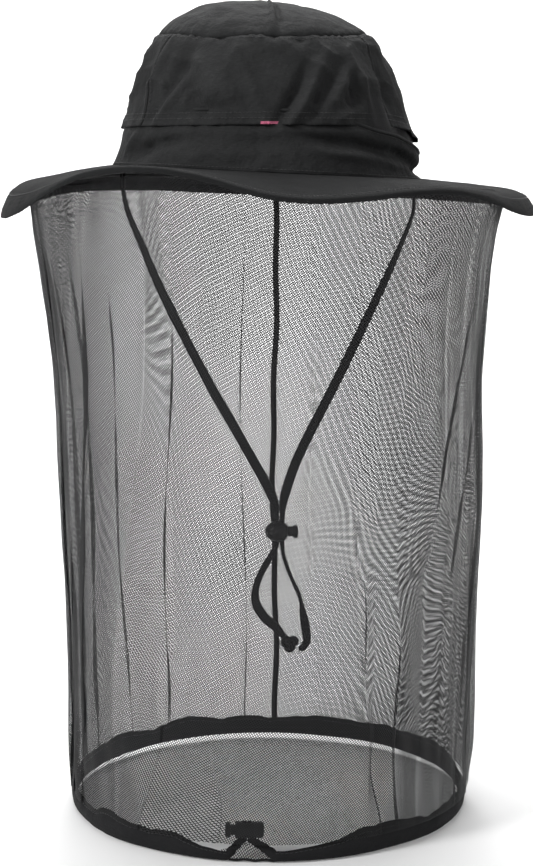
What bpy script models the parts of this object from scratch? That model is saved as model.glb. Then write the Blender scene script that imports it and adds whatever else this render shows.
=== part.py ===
"""Beekeeping veil: a soft bucket hat whose brim carries a net that hangs to a drawn hem.

The origin is the centre of the head opening, in the plane where the crown is sewn to the brim.
+Z is up and the wearer looks along -Y. All sizes are in metres.
"""

import math

import bmesh
import bpy
from mathutils import Vector

# Cloth and the room between pieces
PIECE_GAP = 0.0003
FABRIC = 0.0008
NET_WALL = 0.0005
TAPE_WALL = 0.0006

# Hat: every ring of it is this much longer from front to back, each side
HAT_DEPTH_EXTRA = 0.006
HEAD_RADIUS = 0.0965

# Crown
CROWN_HEIGHT = 0.104
TIP_RADIUS = 0.065
TIP_EDGE_HEIGHT = 0.083
FLAP_INSET = 0.003
FLAP_RADIUS = HEAD_RADIUS - FLAP_INSET
FLAP_HEM_HEIGHT = 0.0245
CROWN_FULLNESS = 0.0245
SHOULDER_INSET = 0.0057
TIP_FLATNESS = 1.5
SIDE_SEAM_ANGLE = math.radians(57)
SEAM_TAPE_WIDTH = 0.008
SEAM_TAPE_END_ROOM = 0.003

# Lower crown wall, the vent under the flap, and the sweatband
FLAP_OVERLAP = 0.0095
FLAP_CLEARANCE = 0.0012
WALL_FLARE = 0.002
WALL_BOTTOM_HEIGHT = 0.0005
VENT_TOP_RISE = 0.016
VENT_BOTTOM_DROP = 0.004
SWEATBAND_HEIGHT = 0.0225
SWEATBAND_WALL = 0.0015
SWEATBAND_BOTTOM_HEIGHT = 0.001
SWEATBAND_INSET = 0.0015

# Woven tab on the flap's hem
TAB_WIDTH = 0.0145
TAB_HEIGHT = 0.004
TAB_SIDE_SHIFT = 0.0015

# Brim
BRIM_WIDTH = 0.075
EDGE_DROP = 0.0225
BACK_DROOP = 0.010
BRIM_PLY = 0.0006
BRIM_STIFFENER = 0.0008
BINDING_WIDTH = 0.008

# Net, its sewn top tape and its back seam
NET_INSET = 0.0215
NET_TAPE_WIDTH = 0.008
BACK_SEAM_ANGLE = math.radians(88)
BACK_SEAM_WIDTH = 0.004

# Hem: a hollow casing, open at the front, with the drawcord in it
HEM_RADIUS = 0.134
HEM_DROP = 0.424
CASING_HEIGHT = 0.015
CASING_WALL = 0.0007
CASING_ROOM = 0.0004
CASING_GAP_MIDDLE = math.radians(-95.5)
CASING_GAP_ANGLE = math.radians(9)
CASING_SIDES = 8
DRAWCORD_DIAMETER = 0.003
CASING_THICKNESS = DRAWCORD_DIAMETER + 2 * (CASING_ROOM + CASING_WALL)
DRAWCORD_LEAD_ANGLE = math.radians(3.5)

# Chin strap: two laces that hang from anchors at the sides and meet in the chin lock
ANCHOR_WIDTH = 0.012
ANCHOR_DEPTH = 0.014
ANCHOR_THICKNESS = 0.002
ANCHOR_INSET = 0.002
LACE_DIAMETER = 0.0032

# Where the two cord locks sit: the middle of each one's cord slot. The hem lock lies just inside
# the net, this far to the side and this far above the hem's foot.
CHIN_LOCK_PLACE = Vector((0.0077, 0.0, -0.242))
HEM_LOCK_SIDE = -0.013
HEM_LOCK_CLEARANCE = 0.0001
HEM_LOCK_RISE = 0.018

# What both cord locks share
LOCK_WALL = 0.0013
CORD_CLEARANCE = 0.00035
STEM_CHEEK = 0.00145
PLUNGER_CLEARANCE = 0.0003
SPRING_WIRE = 0.0005
SPRING_TURNS = 3
CUTTER_REACH = 0.004

RING_STEPS = 40
FRONT = -math.pi / 2
FULL_TURN = 2 * math.pi


# ---- scene and materials --------------------------------------------------------------------


def clear_scene():
    for item in list(bpy.data.objects):
        bpy.data.objects.remove(item, do_unlink=True)


def new_collection(name):
    collection = bpy.data.collections.new(name)
    bpy.context.scene.collection.children.link(collection)
    return collection


def make_material(name, colour, roughness, metallic=0.0):
    material = bpy.data.materials.new(name)
    material.use_nodes = True
    shader = material.node_tree.nodes["Principled BSDF"]
    shader.inputs["Base Color"].default_value = (*colour, 1.0)
    shader.inputs["Roughness"].default_value = roughness
    shader.inputs["Metallic"].default_value = metallic
    material.diffuse_color = (*colour, 1.0)
    return material


def make_materials():
    return {
        "crown_fabric": make_material("crown_fabric", (0.031, 0.032, 0.034), 0.62),
        "brim_fabric": make_material("brim_fabric", (0.030, 0.031, 0.033), 0.66),
        "lining": make_material("lining", (0.020, 0.020, 0.022), 0.85),
        "mesh": make_material("mesh", (0.028, 0.028, 0.030), 0.75),
        "foam": make_material("foam", (0.060, 0.060, 0.062), 0.90),
        "tape": make_material("tape", (0.016, 0.016, 0.018), 0.78),
        "tab": make_material("tab", (0.620, 0.100, 0.220), 0.60),
        "lace": make_material("lace", (0.012, 0.012, 0.013), 0.80),
        "lock_plastic": make_material("lock_plastic", (0.014, 0.014, 0.015), 0.42),
        "spring_steel": make_material("spring_steel", (0.520, 0.520, 0.530), 0.30, 1.0),
    }


def finish_piece(piece, material, collection):
    for holder in list(piece.users_collection):
        holder.objects.unlink(piece)
    collection.objects.link(piece)
    piece.data.materials.clear()
    piece.data.materials.append(material)
    if piece.type == "MESH":
        piece.data.shade_smooth()
        piece.data.set_sharp_from_angle(angle=math.radians(35))
    return piece


def object_from_bmesh(name, shape):
    bmesh.ops.recalc_face_normals(shape, faces=shape.faces)
    mesh = bpy.data.meshes.new(name)
    shape.to_mesh(mesh)
    shape.free()
    piece = bpy.data.objects.new(name, mesh)
    bpy.context.scene.collection.objects.link(piece)
    return piece


# ---- lofted and turned bodies ---------------------------------------------------------------


def join_rows(shape, rows, closed_path):
    """Triangles between rows. Each leans from the point nearer Z, so that layers fold alike."""
    pairs = list(zip(rows, rows[1:]))
    if closed_path:
        pairs.append((rows[-1], rows[0]))
    for near, far in pairs:
        for here, there, far_there, far_here in zip(
            near, near[1:] + near[:1], far[1:] + far[:1], far
        ):
            if here.co.xy.length < there.co.xy.length:
                shape.faces.new((here, there, far_there))
                shape.faces.new((here, far_there, far_here))
            else:
                shape.faces.new((here, there, far_here))
                shape.faces.new((there, far_there, far_here))


def lofted_body(name, sections, closed_path):
    """One body through a row of like sections, capped at its ends unless the row is a ring."""
    shape = bmesh.new()
    rows = [[shape.verts.new(point) for point in section] for section in sections]
    join_rows(shape, rows, closed_path)
    if not closed_path:
        shape.faces.new(rows[0])
        shape.faces.new(rows[-1])
    return object_from_bmesh(name, shape)


def lofted_tube(name, outer_sections, inner_sections):
    """A hollow body, open at both ends, between two rows of like sections."""
    shape = bmesh.new()
    outer = [[shape.verts.new(point) for point in section] for section in outer_sections]
    inner = [[shape.verts.new(point) for point in section] for section in inner_sections]
    join_rows(shape, outer, False)
    join_rows(shape, inner, False)
    for mouth in (0, -1):
        join_rows(shape, [outer[mouth], inner[mouth]], False)
    return object_from_bmesh(name, shape)


def angles_between(start, end, steps):
    return [start + (end - start) * step / steps for step in range(steps + 1)]


def ring_angles():
    return [FULL_TURN * step / RING_STEPS for step in range(RING_STEPS)]


def oval_point(radius, angle, height, depth_extra=HAT_DEPTH_EXTRA):
    return Vector(
        (radius * math.cos(angle), (radius + depth_extra) * math.sin(angle), height)
    )


def wall_section(outer_profile, wall, angle):
    """Closed outline of a wall whose outer face follows (radius, height) points, top to bottom."""
    outside = [oval_point(radius, angle, height) for radius, height in outer_profile]
    inside = [oval_point(radius - wall, angle, height) for radius, height in outer_profile]
    return outside + inside[::-1]


def cloth_ring(name, outer_profile, wall):
    return lofted_body(
        name, [wall_section(outer_profile, wall, angle) for angle in ring_angles()], True
    )


def cloth_panel(name, outer_profile, wall, start, end):
    steps = max(2, round(RING_STEPS * (end - start) / FULL_TURN))
    angles = angles_between(start, end, steps)
    return lofted_body(
        name, [wall_section(outer_profile, wall, angle) for angle in angles], False
    )


def radius_at(profile, height):
    """The radius of a (radius, height) profile, listed top to bottom, at one height."""
    for (upper_radius, upper), (lower_radius, lower) in zip(profile, profile[1:]):
        if height >= lower:
            share = (upper - height) / (upper - lower)
            return upper_radius + (lower_radius - upper_radius) * share
    return profile[-1][0]


def profile_between(profile, top, bottom, inward, count=5):
    heights = angles_between(top, bottom, count - 1)
    return [(radius_at(profile, height) - inward, height) for height in heights]


# ---- crown ----------------------------------------------------------------------------------


def crown_profile(count=7):
    """The crown panels' outer face, from under the tip's edge to the flap's hem, as one soft arc."""
    top = Vector((TIP_RADIUS, TIP_EDGE_HEIGHT - FABRIC - PIECE_GAP))
    hem = Vector((FLAP_RADIUS, FLAP_HEM_HEIGHT))
    shoulder = Vector((FLAP_RADIUS - SHOULDER_INSET, TIP_EDGE_HEIGHT - CROWN_FULLNESS))
    points = []
    for step in range(count):
        share = step / (count - 1)
        point = top * (1 - share) ** 2 + shoulder * 2 * share * (1 - share) + hem * share**2
        points.append((point.x, point.y))
    return points


def lower_wall_profile():
    inward = FABRIC + FLAP_CLEARANCE
    top = FLAP_HEM_HEIGHT + FLAP_OVERLAP
    return [
        (radius_at(crown_profile(), top) - inward, top),
        (FLAP_RADIUS - inward, FLAP_HEM_HEIGHT),
        (HEAD_RADIUS + WALL_FLARE, WALL_BOTTOM_HEIGHT),
    ]


def make_crown_tip():
    """The crown's domed top panel, turned about Z and drawn out to the hat's oval."""
    rise = CROWN_HEIGHT - TIP_EDGE_HEIGHT
    shape = bmesh.new()
    outside = []
    for angle in angles_between(math.pi / 2, 0, 5):
        radius = TIP_RADIUS * math.cos(angle)
        height = TIP_EDGE_HEIGHT + rise * math.sin(angle) ** TIP_FLATNESS
        outside.append(shape.verts.new((radius, 0, height)))
    inside = [shape.verts.new(vert.co - Vector((0, 0, FABRIC))) for vert in outside]
    loop = outside + inside[::-1]
    edges = [shape.edges.new(pair) for pair in zip(loop, loop[1:])]
    bmesh.ops.spin(
        shape,
        geom=loop + edges,
        axis=(0, 0, 1),
        cent=(0, 0, 0),
        angle=FULL_TURN,
        steps=RING_STEPS,
    )
    bmesh.ops.remove_doubles(shape, verts=shape.verts, dist=0.00001)
    for vert in shape.verts:
        vert.co.y *= (TIP_RADIUS + HAT_DEPTH_EXTRA) / TIP_RADIUS
    return object_from_bmesh("crown_tip", shape)


def make_crown_panels():
    """Front and back panels, which meet at the side seams and end below in the free flap."""
    gap = PIECE_GAP / TIP_RADIUS
    front_start = FRONT - SIDE_SEAM_ANGLE
    front_end = FRONT + SIDE_SEAM_ANGLE
    profile = crown_profile()
    return [
        cloth_panel("crown_front_panel", profile, FABRIC, front_start, front_end),
        cloth_panel(
            "crown_back_panel", profile, FABRIC, front_end + gap, front_start + FULL_TURN - gap
        ),
    ]


def make_seam_tapes():
    """Bias tape over each side seam, inside the crown, ending above the vent."""
    inward = FABRIC + 2 * PIECE_GAP
    top = TIP_EDGE_HEIGHT - SEAM_TAPE_END_ROOM
    bottom = FLAP_HEM_HEIGHT + FLAP_OVERLAP + VENT_TOP_RISE + SEAM_TAPE_END_ROOM
    profile = profile_between(crown_profile(), top, bottom, inward)
    half = SEAM_TAPE_WIDTH / 2 / FLAP_RADIUS
    tapes = []
    for side, angle in (("left", FRONT - SIDE_SEAM_ANGLE), ("right", FRONT + SIDE_SEAM_ANGLE)):
        name = f"crown_seam_tape_{side}"
        tapes.append(cloth_panel(name, profile, TAPE_WALL, angle - half, angle + half))
    return tapes


def make_vent_mesh():
    """The mesh ring under the flap: its top is sewn to the crown, its foot to the lower wall."""
    wall_top = FLAP_HEM_HEIGHT + FLAP_OVERLAP
    top = wall_top + VENT_TOP_RISE
    bottom = wall_top - VENT_BOTTOM_DROP
    profile = [
        (radius_at(crown_profile(), top) - FABRIC - 2 * PIECE_GAP, top),
        (radius_at(lower_wall_profile(), wall_top) - FABRIC - 2 * PIECE_GAP, bottom),
    ]
    return cloth_ring("crown_vent_mesh", profile, NET_WALL)


def make_lower_wall():
    return cloth_ring("lower_crown_wall", lower_wall_profile(), FABRIC)


def make_sweatband():
    top = SWEATBAND_BOTTOM_HEIGHT + SWEATBAND_HEIGHT
    profile = [
        (radius_at(lower_wall_profile(), top) - FABRIC - 2 * PIECE_GAP, top),
        (HEAD_RADIUS - SWEATBAND_INSET, SWEATBAND_BOTTOM_HEIGHT),
    ]
    return cloth_ring("sweatband", profile, SWEATBAND_WALL)


def make_tab():
    """A folded woven tab on the flap's hem, a little to the wearer's left of the middle."""
    top = FLAP_HEM_HEIGHT + TAB_HEIGHT
    outward = -(PIECE_GAP + TAPE_WALL)
    profile = profile_between(crown_profile(), top, FLAP_HEM_HEIGHT, outward, 2)
    middle = FRONT + TAB_SIDE_SHIFT / FLAP_RADIUS
    half = TAB_WIDTH / 2 / FLAP_RADIUS
    return cloth_panel("woven_tab", profile, TAPE_WALL, middle - half, middle + half)


# ---- brim -----------------------------------------------------------------------------------


def brim_height(radius, angle):
    """Height of the brim's upper face: flat across, lower at the back than at the front."""
    drop = EDGE_DROP + BACK_DROOP * math.sin(angle)
    return -drop * (radius - HEAD_RADIUS) / BRIM_WIDTH


def brim_edge_radius():
    return HEAD_RADIUS + BRIM_WIDTH


def brim_stack():
    """Thickness of the brim's two plies, its stiffener and the gaps between them."""
    return 2 * BRIM_PLY + BRIM_STIFFENER + 2 * PIECE_GAP


def brim_point(radius, angle, below):
    return oval_point(radius, angle, brim_height(radius, angle) - below)


def brim_layer(name, inner_radius, outer_radius, below, thickness):
    """A flat ring in the brim's stack, its upper face a given way below the brim's."""
    corners = (
        (inner_radius, below),
        (outer_radius, below),
        (outer_radius, below + thickness),
        (inner_radius, below + thickness),
    )
    sections = [
        [brim_point(radius, angle, depth) for radius, depth in corners] for angle in ring_angles()
    ]
    return lofted_body(name, sections, True)


def make_brim():
    stiffener_top = BRIM_PLY + PIECE_GAP
    under_top = stiffener_top + BRIM_STIFFENER + PIECE_GAP
    edge = brim_edge_radius()
    return [
        brim_layer("brim_top_ply", HEAD_RADIUS, edge, 0, BRIM_PLY),
        brim_layer("brim_stiffener", HEAD_RADIUS, edge, stiffener_top, BRIM_STIFFENER),
        brim_layer("brim_under_ply", HEAD_RADIUS, edge, under_top, BRIM_PLY),
    ]


def make_binding():
    """Bias tape folded round the brim's edge, open towards the head."""
    edge = brim_edge_radius() + PIECE_GAP
    lip = edge - BINDING_WIDTH
    bottom = brim_stack() + PIECE_GAP
    corners = (
        (lip, -PIECE_GAP - TAPE_WALL),
        (edge + TAPE_WALL, -PIECE_GAP - TAPE_WALL),
        (edge + TAPE_WALL, bottom + TAPE_WALL),
        (lip, bottom + TAPE_WALL),
        (lip, bottom),
        (edge, bottom),
        (edge, -PIECE_GAP),
        (lip, -PIECE_GAP),
    )
    sections = [
        [brim_point(radius, angle, depth) for radius, depth in corners] for angle in ring_angles()
    ]
    return lofted_body("brim_edge_binding", sections, True)


# ---- net ------------------------------------------------------------------------------------


def net_top_radius():
    return brim_edge_radius() - NET_INSET


def net_tape_below():
    return brim_stack() + PIECE_GAP


def make_net_tape():
    middle = net_top_radius()
    half = NET_TAPE_WIDTH / 2
    return brim_layer("net_top_tape", middle - half, middle + half, net_tape_below(), TAPE_WALL)


def hem_top_height():
    return -HEM_DROP + CASING_HEIGHT


def net_point(share, angle, inward):
    """A point of the net: share runs from 0 at the brim to 1 at the hem, where the net is drawn in."""
    top_below = net_tape_below() + TAPE_WALL + PIECE_GAP
    top_height = brim_height(net_top_radius(), angle) - top_below - NET_WALL
    height = top_height + (hem_top_height() + PIECE_GAP - top_height) * share
    drawn = 1 - (1 - share) ** 2
    hem_radius = HEM_RADIUS - CASING_THICKNESS / 2 + NET_WALL / 2
    radius = net_top_radius() + (hem_radius - net_top_radius()) * drawn
    return oval_point(radius - inward, angle, height, HAT_DEPTH_EXTRA * (1 - drawn))


def make_net():
    rows = 6
    shares = [row / rows for row in range(rows + 1)]
    sections = []
    for angle in ring_angles():
        outside = [net_point(share, angle, 0) for share in shares]
        inside = [net_point(share, angle, NET_WALL) for share in shares]
        sections.append(outside + inside[::-1])
    return lofted_body("veil_net", sections, True)


def make_back_seam():
    """The tape that covers the net's one upright seam, on its inner face at the back."""
    rows = 8
    inward = NET_WALL + 2 * PIECE_GAP
    half = BACK_SEAM_WIDTH / 2 / HEM_RADIUS
    sections = []
    for row in range(rows + 1):
        share = 0.01 + 0.98 * row / rows
        edges = (BACK_SEAM_ANGLE - half, BACK_SEAM_ANGLE + half)
        outside = [net_point(share, angle, inward) for angle in edges]
        inside = [net_point(share, angle, inward + TAPE_WALL) for angle in edges[::-1]]
        sections.append(outside + inside)
    return lofted_body("back_seam_tape", sections, False)


# ---- hem ------------------------------------------------------------------------------------


def casing_radius():
    return HEM_RADIUS - CASING_THICKNESS / 2


def casing_height():
    return -HEM_DROP + CASING_HEIGHT / 2


def casing_section(angle, half_thickness, half_height):
    """An upright oval across the casing at one angle round the hem."""
    points = []
    flat = math.cos(math.pi / CASING_SIDES)
    for step in range(CASING_SIDES):
        turn = FULL_TURN * (step + 0.5) / CASING_SIDES
        radius = casing_radius() + half_thickness * math.cos(turn) / flat
        height = casing_height() + half_height * math.sin(turn) / flat
        points.append(oval_point(radius, angle, height, 0))
    return points


def make_casing():
    start = CASING_GAP_MIDDLE + CASING_GAP_ANGLE
    angles = angles_between(start, start + FULL_TURN - 2 * CASING_GAP_ANGLE, RING_STEPS)
    half_thickness = CASING_THICKNESS / 2
    half_height = CASING_HEIGHT / 2
    outer = [casing_section(angle, half_thickness, half_height) for angle in angles]
    inner = [
        casing_section(angle, half_thickness - CASING_WALL, half_height - CASING_WALL)
        for angle in angles
    ]
    return lofted_tube("hem_casing", outer, inner)


# ---- cords ----------------------------------------------------------------------------------


def smooth_route(points, spacing):
    """Points a given way apart on a smooth curve through a route's own points."""
    route = [Vector(point) for point in points]
    route = [2 * route[0] - route[1], *route, 2 * route[-1] - route[-2]]
    fine = []
    for before, start, end, after in zip(route, route[1:], route[2:], route[3:]):
        for step in range(40):
            share = step / 40
            fine.append(
                0.5
                * (
                    2 * start
                    + (end - before) * share
                    + (2 * before - 5 * start + 4 * end - after) * share**2
                    + (3 * start - before - 3 * end + after) * share**3
                )
            )
    fine.append(route[-2])
    total = sum((after - before).length for before, after in zip(fine, fine[1:]))
    count = max(2, round(total / spacing))
    picked = [fine[0]]
    walked = 0.0
    for before, after in zip(fine, fine[1:]):
        walked += (after - before).length
        if walked >= total * len(picked) / count and len(picked) < count:
            picked.append(after)
    picked.append(fine[-1])
    return picked


def make_tube(name, points, diameter):
    curve = bpy.data.curves.new(name, "CURVE")
    curve.dimensions = "3D"
    curve.bevel_depth = diameter / 2
    curve.bevel_resolution = 2
    curve.use_fill_caps = True
    spline = curve.splines.new("POLY")
    spline.points.add(len(points) - 1)
    for place, point in zip(spline.points, points):
        place.co = (*point, 1.0)
    piece = bpy.data.objects.new(name, curve)
    bpy.context.scene.collection.objects.link(piece)
    return piece


def anchor_side():
    """How far each strap anchor is from the middle of the hat."""
    return HEAD_RADIUS - ANCHOR_INSET


def swing_axis_height():
    return -PIECE_GAP - ANCHOR_DEPTH


def make_anchor(name, side):
    """A folded tab of tape, sewn into the head seam, that holds one end of the strap."""
    bpy.ops.mesh.primitive_cube_add(size=1)
    piece = bpy.context.object
    piece.name = name
    piece.data.name = name
    size = Vector((ANCHOR_THICKNESS, ANCHOR_WIDTH, ANCHOR_DEPTH))
    for vert in piece.data.vertices:
        vert.co = Vector(a * b for a, b in zip(vert.co, size))
    piece.location = (side * anchor_side(), 0, swing_axis_height() + ANCHOR_DEPTH / 2)
    bevel = piece.modifiers.new("soft_edges", "BEVEL")
    bevel.width = ANCHOR_THICKNESS / 4
    bevel.segments = 2
    return piece


STRAP_LEFT_ROUTE = (
    (-0.0945, 0.0, -0.0146),
    (-0.0912, 0.0, -0.0300),
    (-0.0811, 0.0, -0.0545),
    (-0.0690, 0.0, -0.0830),
    (-0.0412, 0.0, -0.1380),
    (-0.0128, 0.0, -0.1890),
    (0.0008, 0.0, -0.2140),
    (0.0050, 0.0, -0.2250),
    (0.00595, 0.0, -0.2343),
)

STRAP_RIGHT_ROUTE = (
    (0.0945, 0.0, -0.0146),
    (0.0946, 0.0, -0.0300),
    (0.0853, 0.0, -0.0545),
    (0.0727, 0.0, -0.0830),
    (0.0466, 0.0, -0.1380),
    (0.0212, 0.0, -0.1890),
    (0.0122, 0.0, -0.2140),
    (0.0098, 0.0, -0.2250),
    (0.00945, 0.0, -0.2343),
)

LOOP_LEFT_ROUTE = (
    (0.00595, 0.0, -0.2347),
    (0.00595, 0.0, -0.2490),
    (0.0035, 0.0, -0.2560),
    (-0.0010, 0.0002, -0.2640),
    (-0.0065, 0.0, -0.2750),
    (-0.0087, 0.0, -0.2857),
    (-0.0067, 0.0, -0.2945),
    (-0.0002, -0.0005, -0.3030),
    (0.0060, -0.0005, -0.3085),
    (0.0102, 0.0, -0.3140),
)

LOOP_RIGHT_ROUTE = (
    (0.00945, 0.0, -0.2347),
    (0.00945, 0.0, -0.2490),
    (0.0108, 0.0, -0.2600),
    (0.0160, 0.0, -0.2745),
    (0.0212, 0.0, -0.2863),
    (0.0236, 0.0, -0.2986),
    (0.0256, 0.0, -0.3100),
    (0.0262, 0.0, -0.3165),
    (0.0240, 0.0, -0.3215),
    (0.0207, 0.0, -0.3225),
)

KNOT_PLACE = Vector((0.0145, 0.0, -0.3188))
KNOT_RADIUS = 0.0048


def make_strap():
    spacing = 2.5 * LACE_DIAMETER
    routes = {
        "strap_left": STRAP_LEFT_ROUTE,
        "strap_right": STRAP_RIGHT_ROUTE,
        "loop_strand_left": LOOP_LEFT_ROUTE,
        "loop_strand_right": LOOP_RIGHT_ROUTE,
    }
    return [
        make_tube(name, smooth_route(route, spacing), LACE_DIAMETER)
        for name, route in routes.items()
    ]


def make_knot():
    bpy.ops.mesh.primitive_uv_sphere_add(
        segments=16, ring_count=8, radius=KNOT_RADIUS, location=KNOT_PLACE
    )
    piece = bpy.context.object
    piece.name = "strap_knot"
    piece.data.name = "strap_knot"
    return piece


def make_drawcord():
    """The hem's cord: down from the lock, once round inside the casing, and up to the lock again."""
    half_pair = (DRAWCORD_DIAMETER + PIECE_GAP) / 2
    slot = hem_lock_place()
    top = slot.z + HEM_LOCK["body_radius"]
    foot = slot.z - HEM_LOCK["body_radius"] - DRAWCORD_DIAMETER / 2
    strands = []
    for side in (1, -1):
        x = slot.x + side * half_pair
        mouth = CASING_GAP_MIDDLE + side * (CASING_GAP_ANGLE - DRAWCORD_LEAD_ANGLE)
        strands.append(
            [
                Vector((x, slot.y, top)),
                Vector((x, slot.y, slot.z)),
                Vector((x, slot.y, foot)),
                oval_point(casing_radius(), mouth, casing_height(), 0),
            ]
        )
    first = CASING_GAP_MIDDLE + CASING_GAP_ANGLE + DRAWCORD_LEAD_ANGLE
    last = first + FULL_TURN - 2 * (CASING_GAP_ANGLE + DRAWCORD_LEAD_ANGLE)
    ring = [
        oval_point(casing_radius(), angle, casing_height(), 0)
        for angle in angles_between(first, last, 4 * RING_STEPS)
    ]
    route = strands[0] + ring + strands[1][::-1]
    return make_tube("hem_drawcord", smooth_route(route, 3.5 * DRAWCORD_DIAMETER), DRAWCORD_DIAMETER)


# ---- cord locks -----------------------------------------------------------------------------

# Each lock is measured from the middle of its cord slot. Its button points along "out", +1 or -1
# on X: back is how far the closed end is behind the slot, mouth how far the open end is before it.
CHIN_LOCK = {
    "out": 1,
    "cord": LACE_DIAMETER,
    "ball_radius": 0.0085,
    "body_radius": 0.0070,
    "spring_room": 0.0034,
    "lip": 0.0012,
    "travel": 0.0020,
    "button_gap": 0.0016,
    "button_radius": 0.0046,
    "button_length": 0.0040,
}
HEM_LOCK = {
    "out": -1,
    "cord": DRAWCORD_DIAMETER,
    "body_radius": 0.00525,
    "spring_room": 0.0044,
    "lip": 0.0040,
    "travel": 0.0025,
    "button_gap": 0.0003,
    "button_radius": 0.0048,
    "button_length": 0.0035,
}


def fit_lock(lock):
    """Works out what fits round the pair of cords in a lock."""
    lock["slot_length"] = 2 * lock["cord"] + PIECE_GAP + 2 * CORD_CLEARANCE
    lock["slot_width"] = lock["cord"] + 2 * CORD_CLEARANCE
    lock["bore_radius"] = lock["slot_width"] / 2 + STEM_CHEEK + PLUNGER_CLEARANCE
    lock["stem_back"] = -lock["slot_length"] / 2 - LOCK_WALL
    lock["back"] = lock["spring_room"] + LOCK_WALL - lock["stem_back"]
    lock["mouth"] = lock["slot_length"] / 2 + lock["lip"]
    lock["button_start"] = lock["mouth"] + lock["travel"] + lock["button_gap"]
    lock["button_end"] = lock["button_start"] + lock["button_length"]


def hem_lock_place():
    """The middle of the hem lock's slot, with its button's end just clear of the net."""
    end = abs(HEM_LOCK_SIDE) + HEM_LOCK["button_end"]
    net_wall = casing_radius() - NET_WALL / 2
    reach = math.sqrt(net_wall**2 - end**2) - HEM_LOCK["button_radius"] - HEM_LOCK_CLEARANCE
    return Vector((HEM_LOCK_SIDE, -reach, HEM_LOCK_RISE - HEM_DROP))


def add_cylinder(name, radius, start, end, place, out, sides=24):
    """A cylinder along X, from start to end on the lock's own axis."""
    bpy.ops.mesh.primitive_cylinder_add(vertices=sides, radius=radius, depth=abs(end - start))
    piece = bpy.context.object
    piece.name = name
    piece.data.name = name
    piece.rotation_euler = (0, math.pi / 2, 0)
    piece.location = place + Vector((out * (start + end) / 2, 0, 0))
    return piece


def add_box(name, size, centre):
    bpy.ops.mesh.primitive_cube_add(size=1, location=centre)
    piece = bpy.context.object
    piece.name = name
    for vert in piece.data.vertices:
        vert.co = Vector(a * b for a, b in zip(vert.co, size))
    return piece


def cut(piece, cutter, cutters):
    for holder in list(cutter.users_collection):
        holder.objects.unlink(cutter)
    cutters.objects.link(cutter)
    cutter.hide_render = True
    cutter.display_type = "WIRE"
    boolean = piece.modifiers.new(f"cut_by_{cutter.name}", "BOOLEAN")
    boolean.operation = "DIFFERENCE"
    boolean.object = cutter


def make_ball_body(name, lock, place):
    """A body as round as a ball, its closed end behind the slot, drawn to its own height."""
    middle = place - Vector((lock["out"] * (lock["back"] - lock["ball_radius"]), 0, 0))
    bpy.ops.mesh.primitive_uv_sphere_add(segments=24, ring_count=12, radius=lock["ball_radius"])
    piece = bpy.context.object
    piece.name = name
    piece.data.name = name
    squeeze = lock["body_radius"] / lock["ball_radius"]
    for vert in piece.data.vertices:
        vert.co.y *= squeeze
        vert.co.z *= squeeze
    piece.location = middle
    return piece


def make_barrel_body(name, lock, place):
    piece = add_cylinder(
        name, lock["body_radius"], -lock["back"], lock["mouth"], place, lock["out"]
    )
    bevel = piece.modifiers.new("round_ends", "BEVEL")
    bevel.width = lock["body_radius"] / 5
    bevel.segments = 2
    return piece


def hollow_body(piece, lock, place, cutters):
    """The bore for the plunger, open at the mouth, and the slot that the cords go through."""
    bore = add_cylinder(
        f"{piece.name}_bore",
        lock["bore_radius"],
        -lock["back"] + LOCK_WALL,
        lock["mouth"] + CUTTER_REACH,
        place,
        lock["out"],
    )
    slot_size = Vector((lock["slot_length"], lock["slot_width"], 4 * lock["body_radius"]))
    slot = add_box(f"{piece.name}_slot", slot_size, place)
    cut(piece, bore, cutters)
    cut(piece, slot, cutters)


def make_plunger(name, lock, place, cutters):
    """The sprung stem with its button, turned about X, and the window that grips the cords."""
    stem_radius = lock["bore_radius"] - PLUNGER_CLEARANCE
    soft = lock["button_radius"] / 6
    profile = (
        (lock["stem_back"], 0),
        (lock["stem_back"], stem_radius),
        (lock["button_start"], stem_radius),
        (lock["button_start"], lock["button_radius"] - soft),
        (lock["button_start"] + soft, lock["button_radius"]),
        (lock["button_end"] - soft, lock["button_radius"]),
        (lock["button_end"], lock["button_radius"] - 2 * soft),
        (lock["button_end"], 0),
    )
    shape = bmesh.new()
    points = [shape.verts.new((lock["out"] * along, 0, radius)) for along, radius in profile]
    edges = [shape.edges.new(pair) for pair in zip(points, points[1:])]
    bmesh.ops.spin(
        shape, geom=points + edges, axis=(1, 0, 0), cent=(0, 0, 0), angle=FULL_TURN, steps=24
    )
    bmesh.ops.remove_doubles(shape, verts=shape.verts, dist=0.00001)
    piece = object_from_bmesh(name, shape)
    piece.location = place
    window_start = -lock["slot_length"] / 2
    window_end = lock["slot_length"] / 2 + lock["travel"]
    centre = place + Vector((lock["out"] * (window_start + window_end) / 2, 0, 0))
    size = Vector((window_end - window_start, lock["slot_width"], 4 * lock["body_radius"]))
    cut(piece, add_box(f"{name}_window", size, centre), cutters)
    return piece


def make_lock_spring(name, lock, place):
    """A coil between the body's closed end and the plunger."""
    start = -lock["back"] + LOCK_WALL + PIECE_GAP + SPRING_WIRE / 2
    end = lock["stem_back"] - PIECE_GAP - SPRING_WIRE / 2
    radius = lock["bore_radius"] - PIECE_GAP - SPRING_WIRE
    turn_points = 12
    count = SPRING_TURNS * turn_points
    points = []
    for step in range(count + 1):
        turn = FULL_TURN * step / turn_points
        along = start + (end - start) * step / count
        around = Vector((0, radius * math.cos(turn), radius * math.sin(turn)))
        points.append(place + Vector((lock["out"] * along, 0, 0)) + around)
    return make_tube(name, points, SPRING_WIRE)


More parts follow.
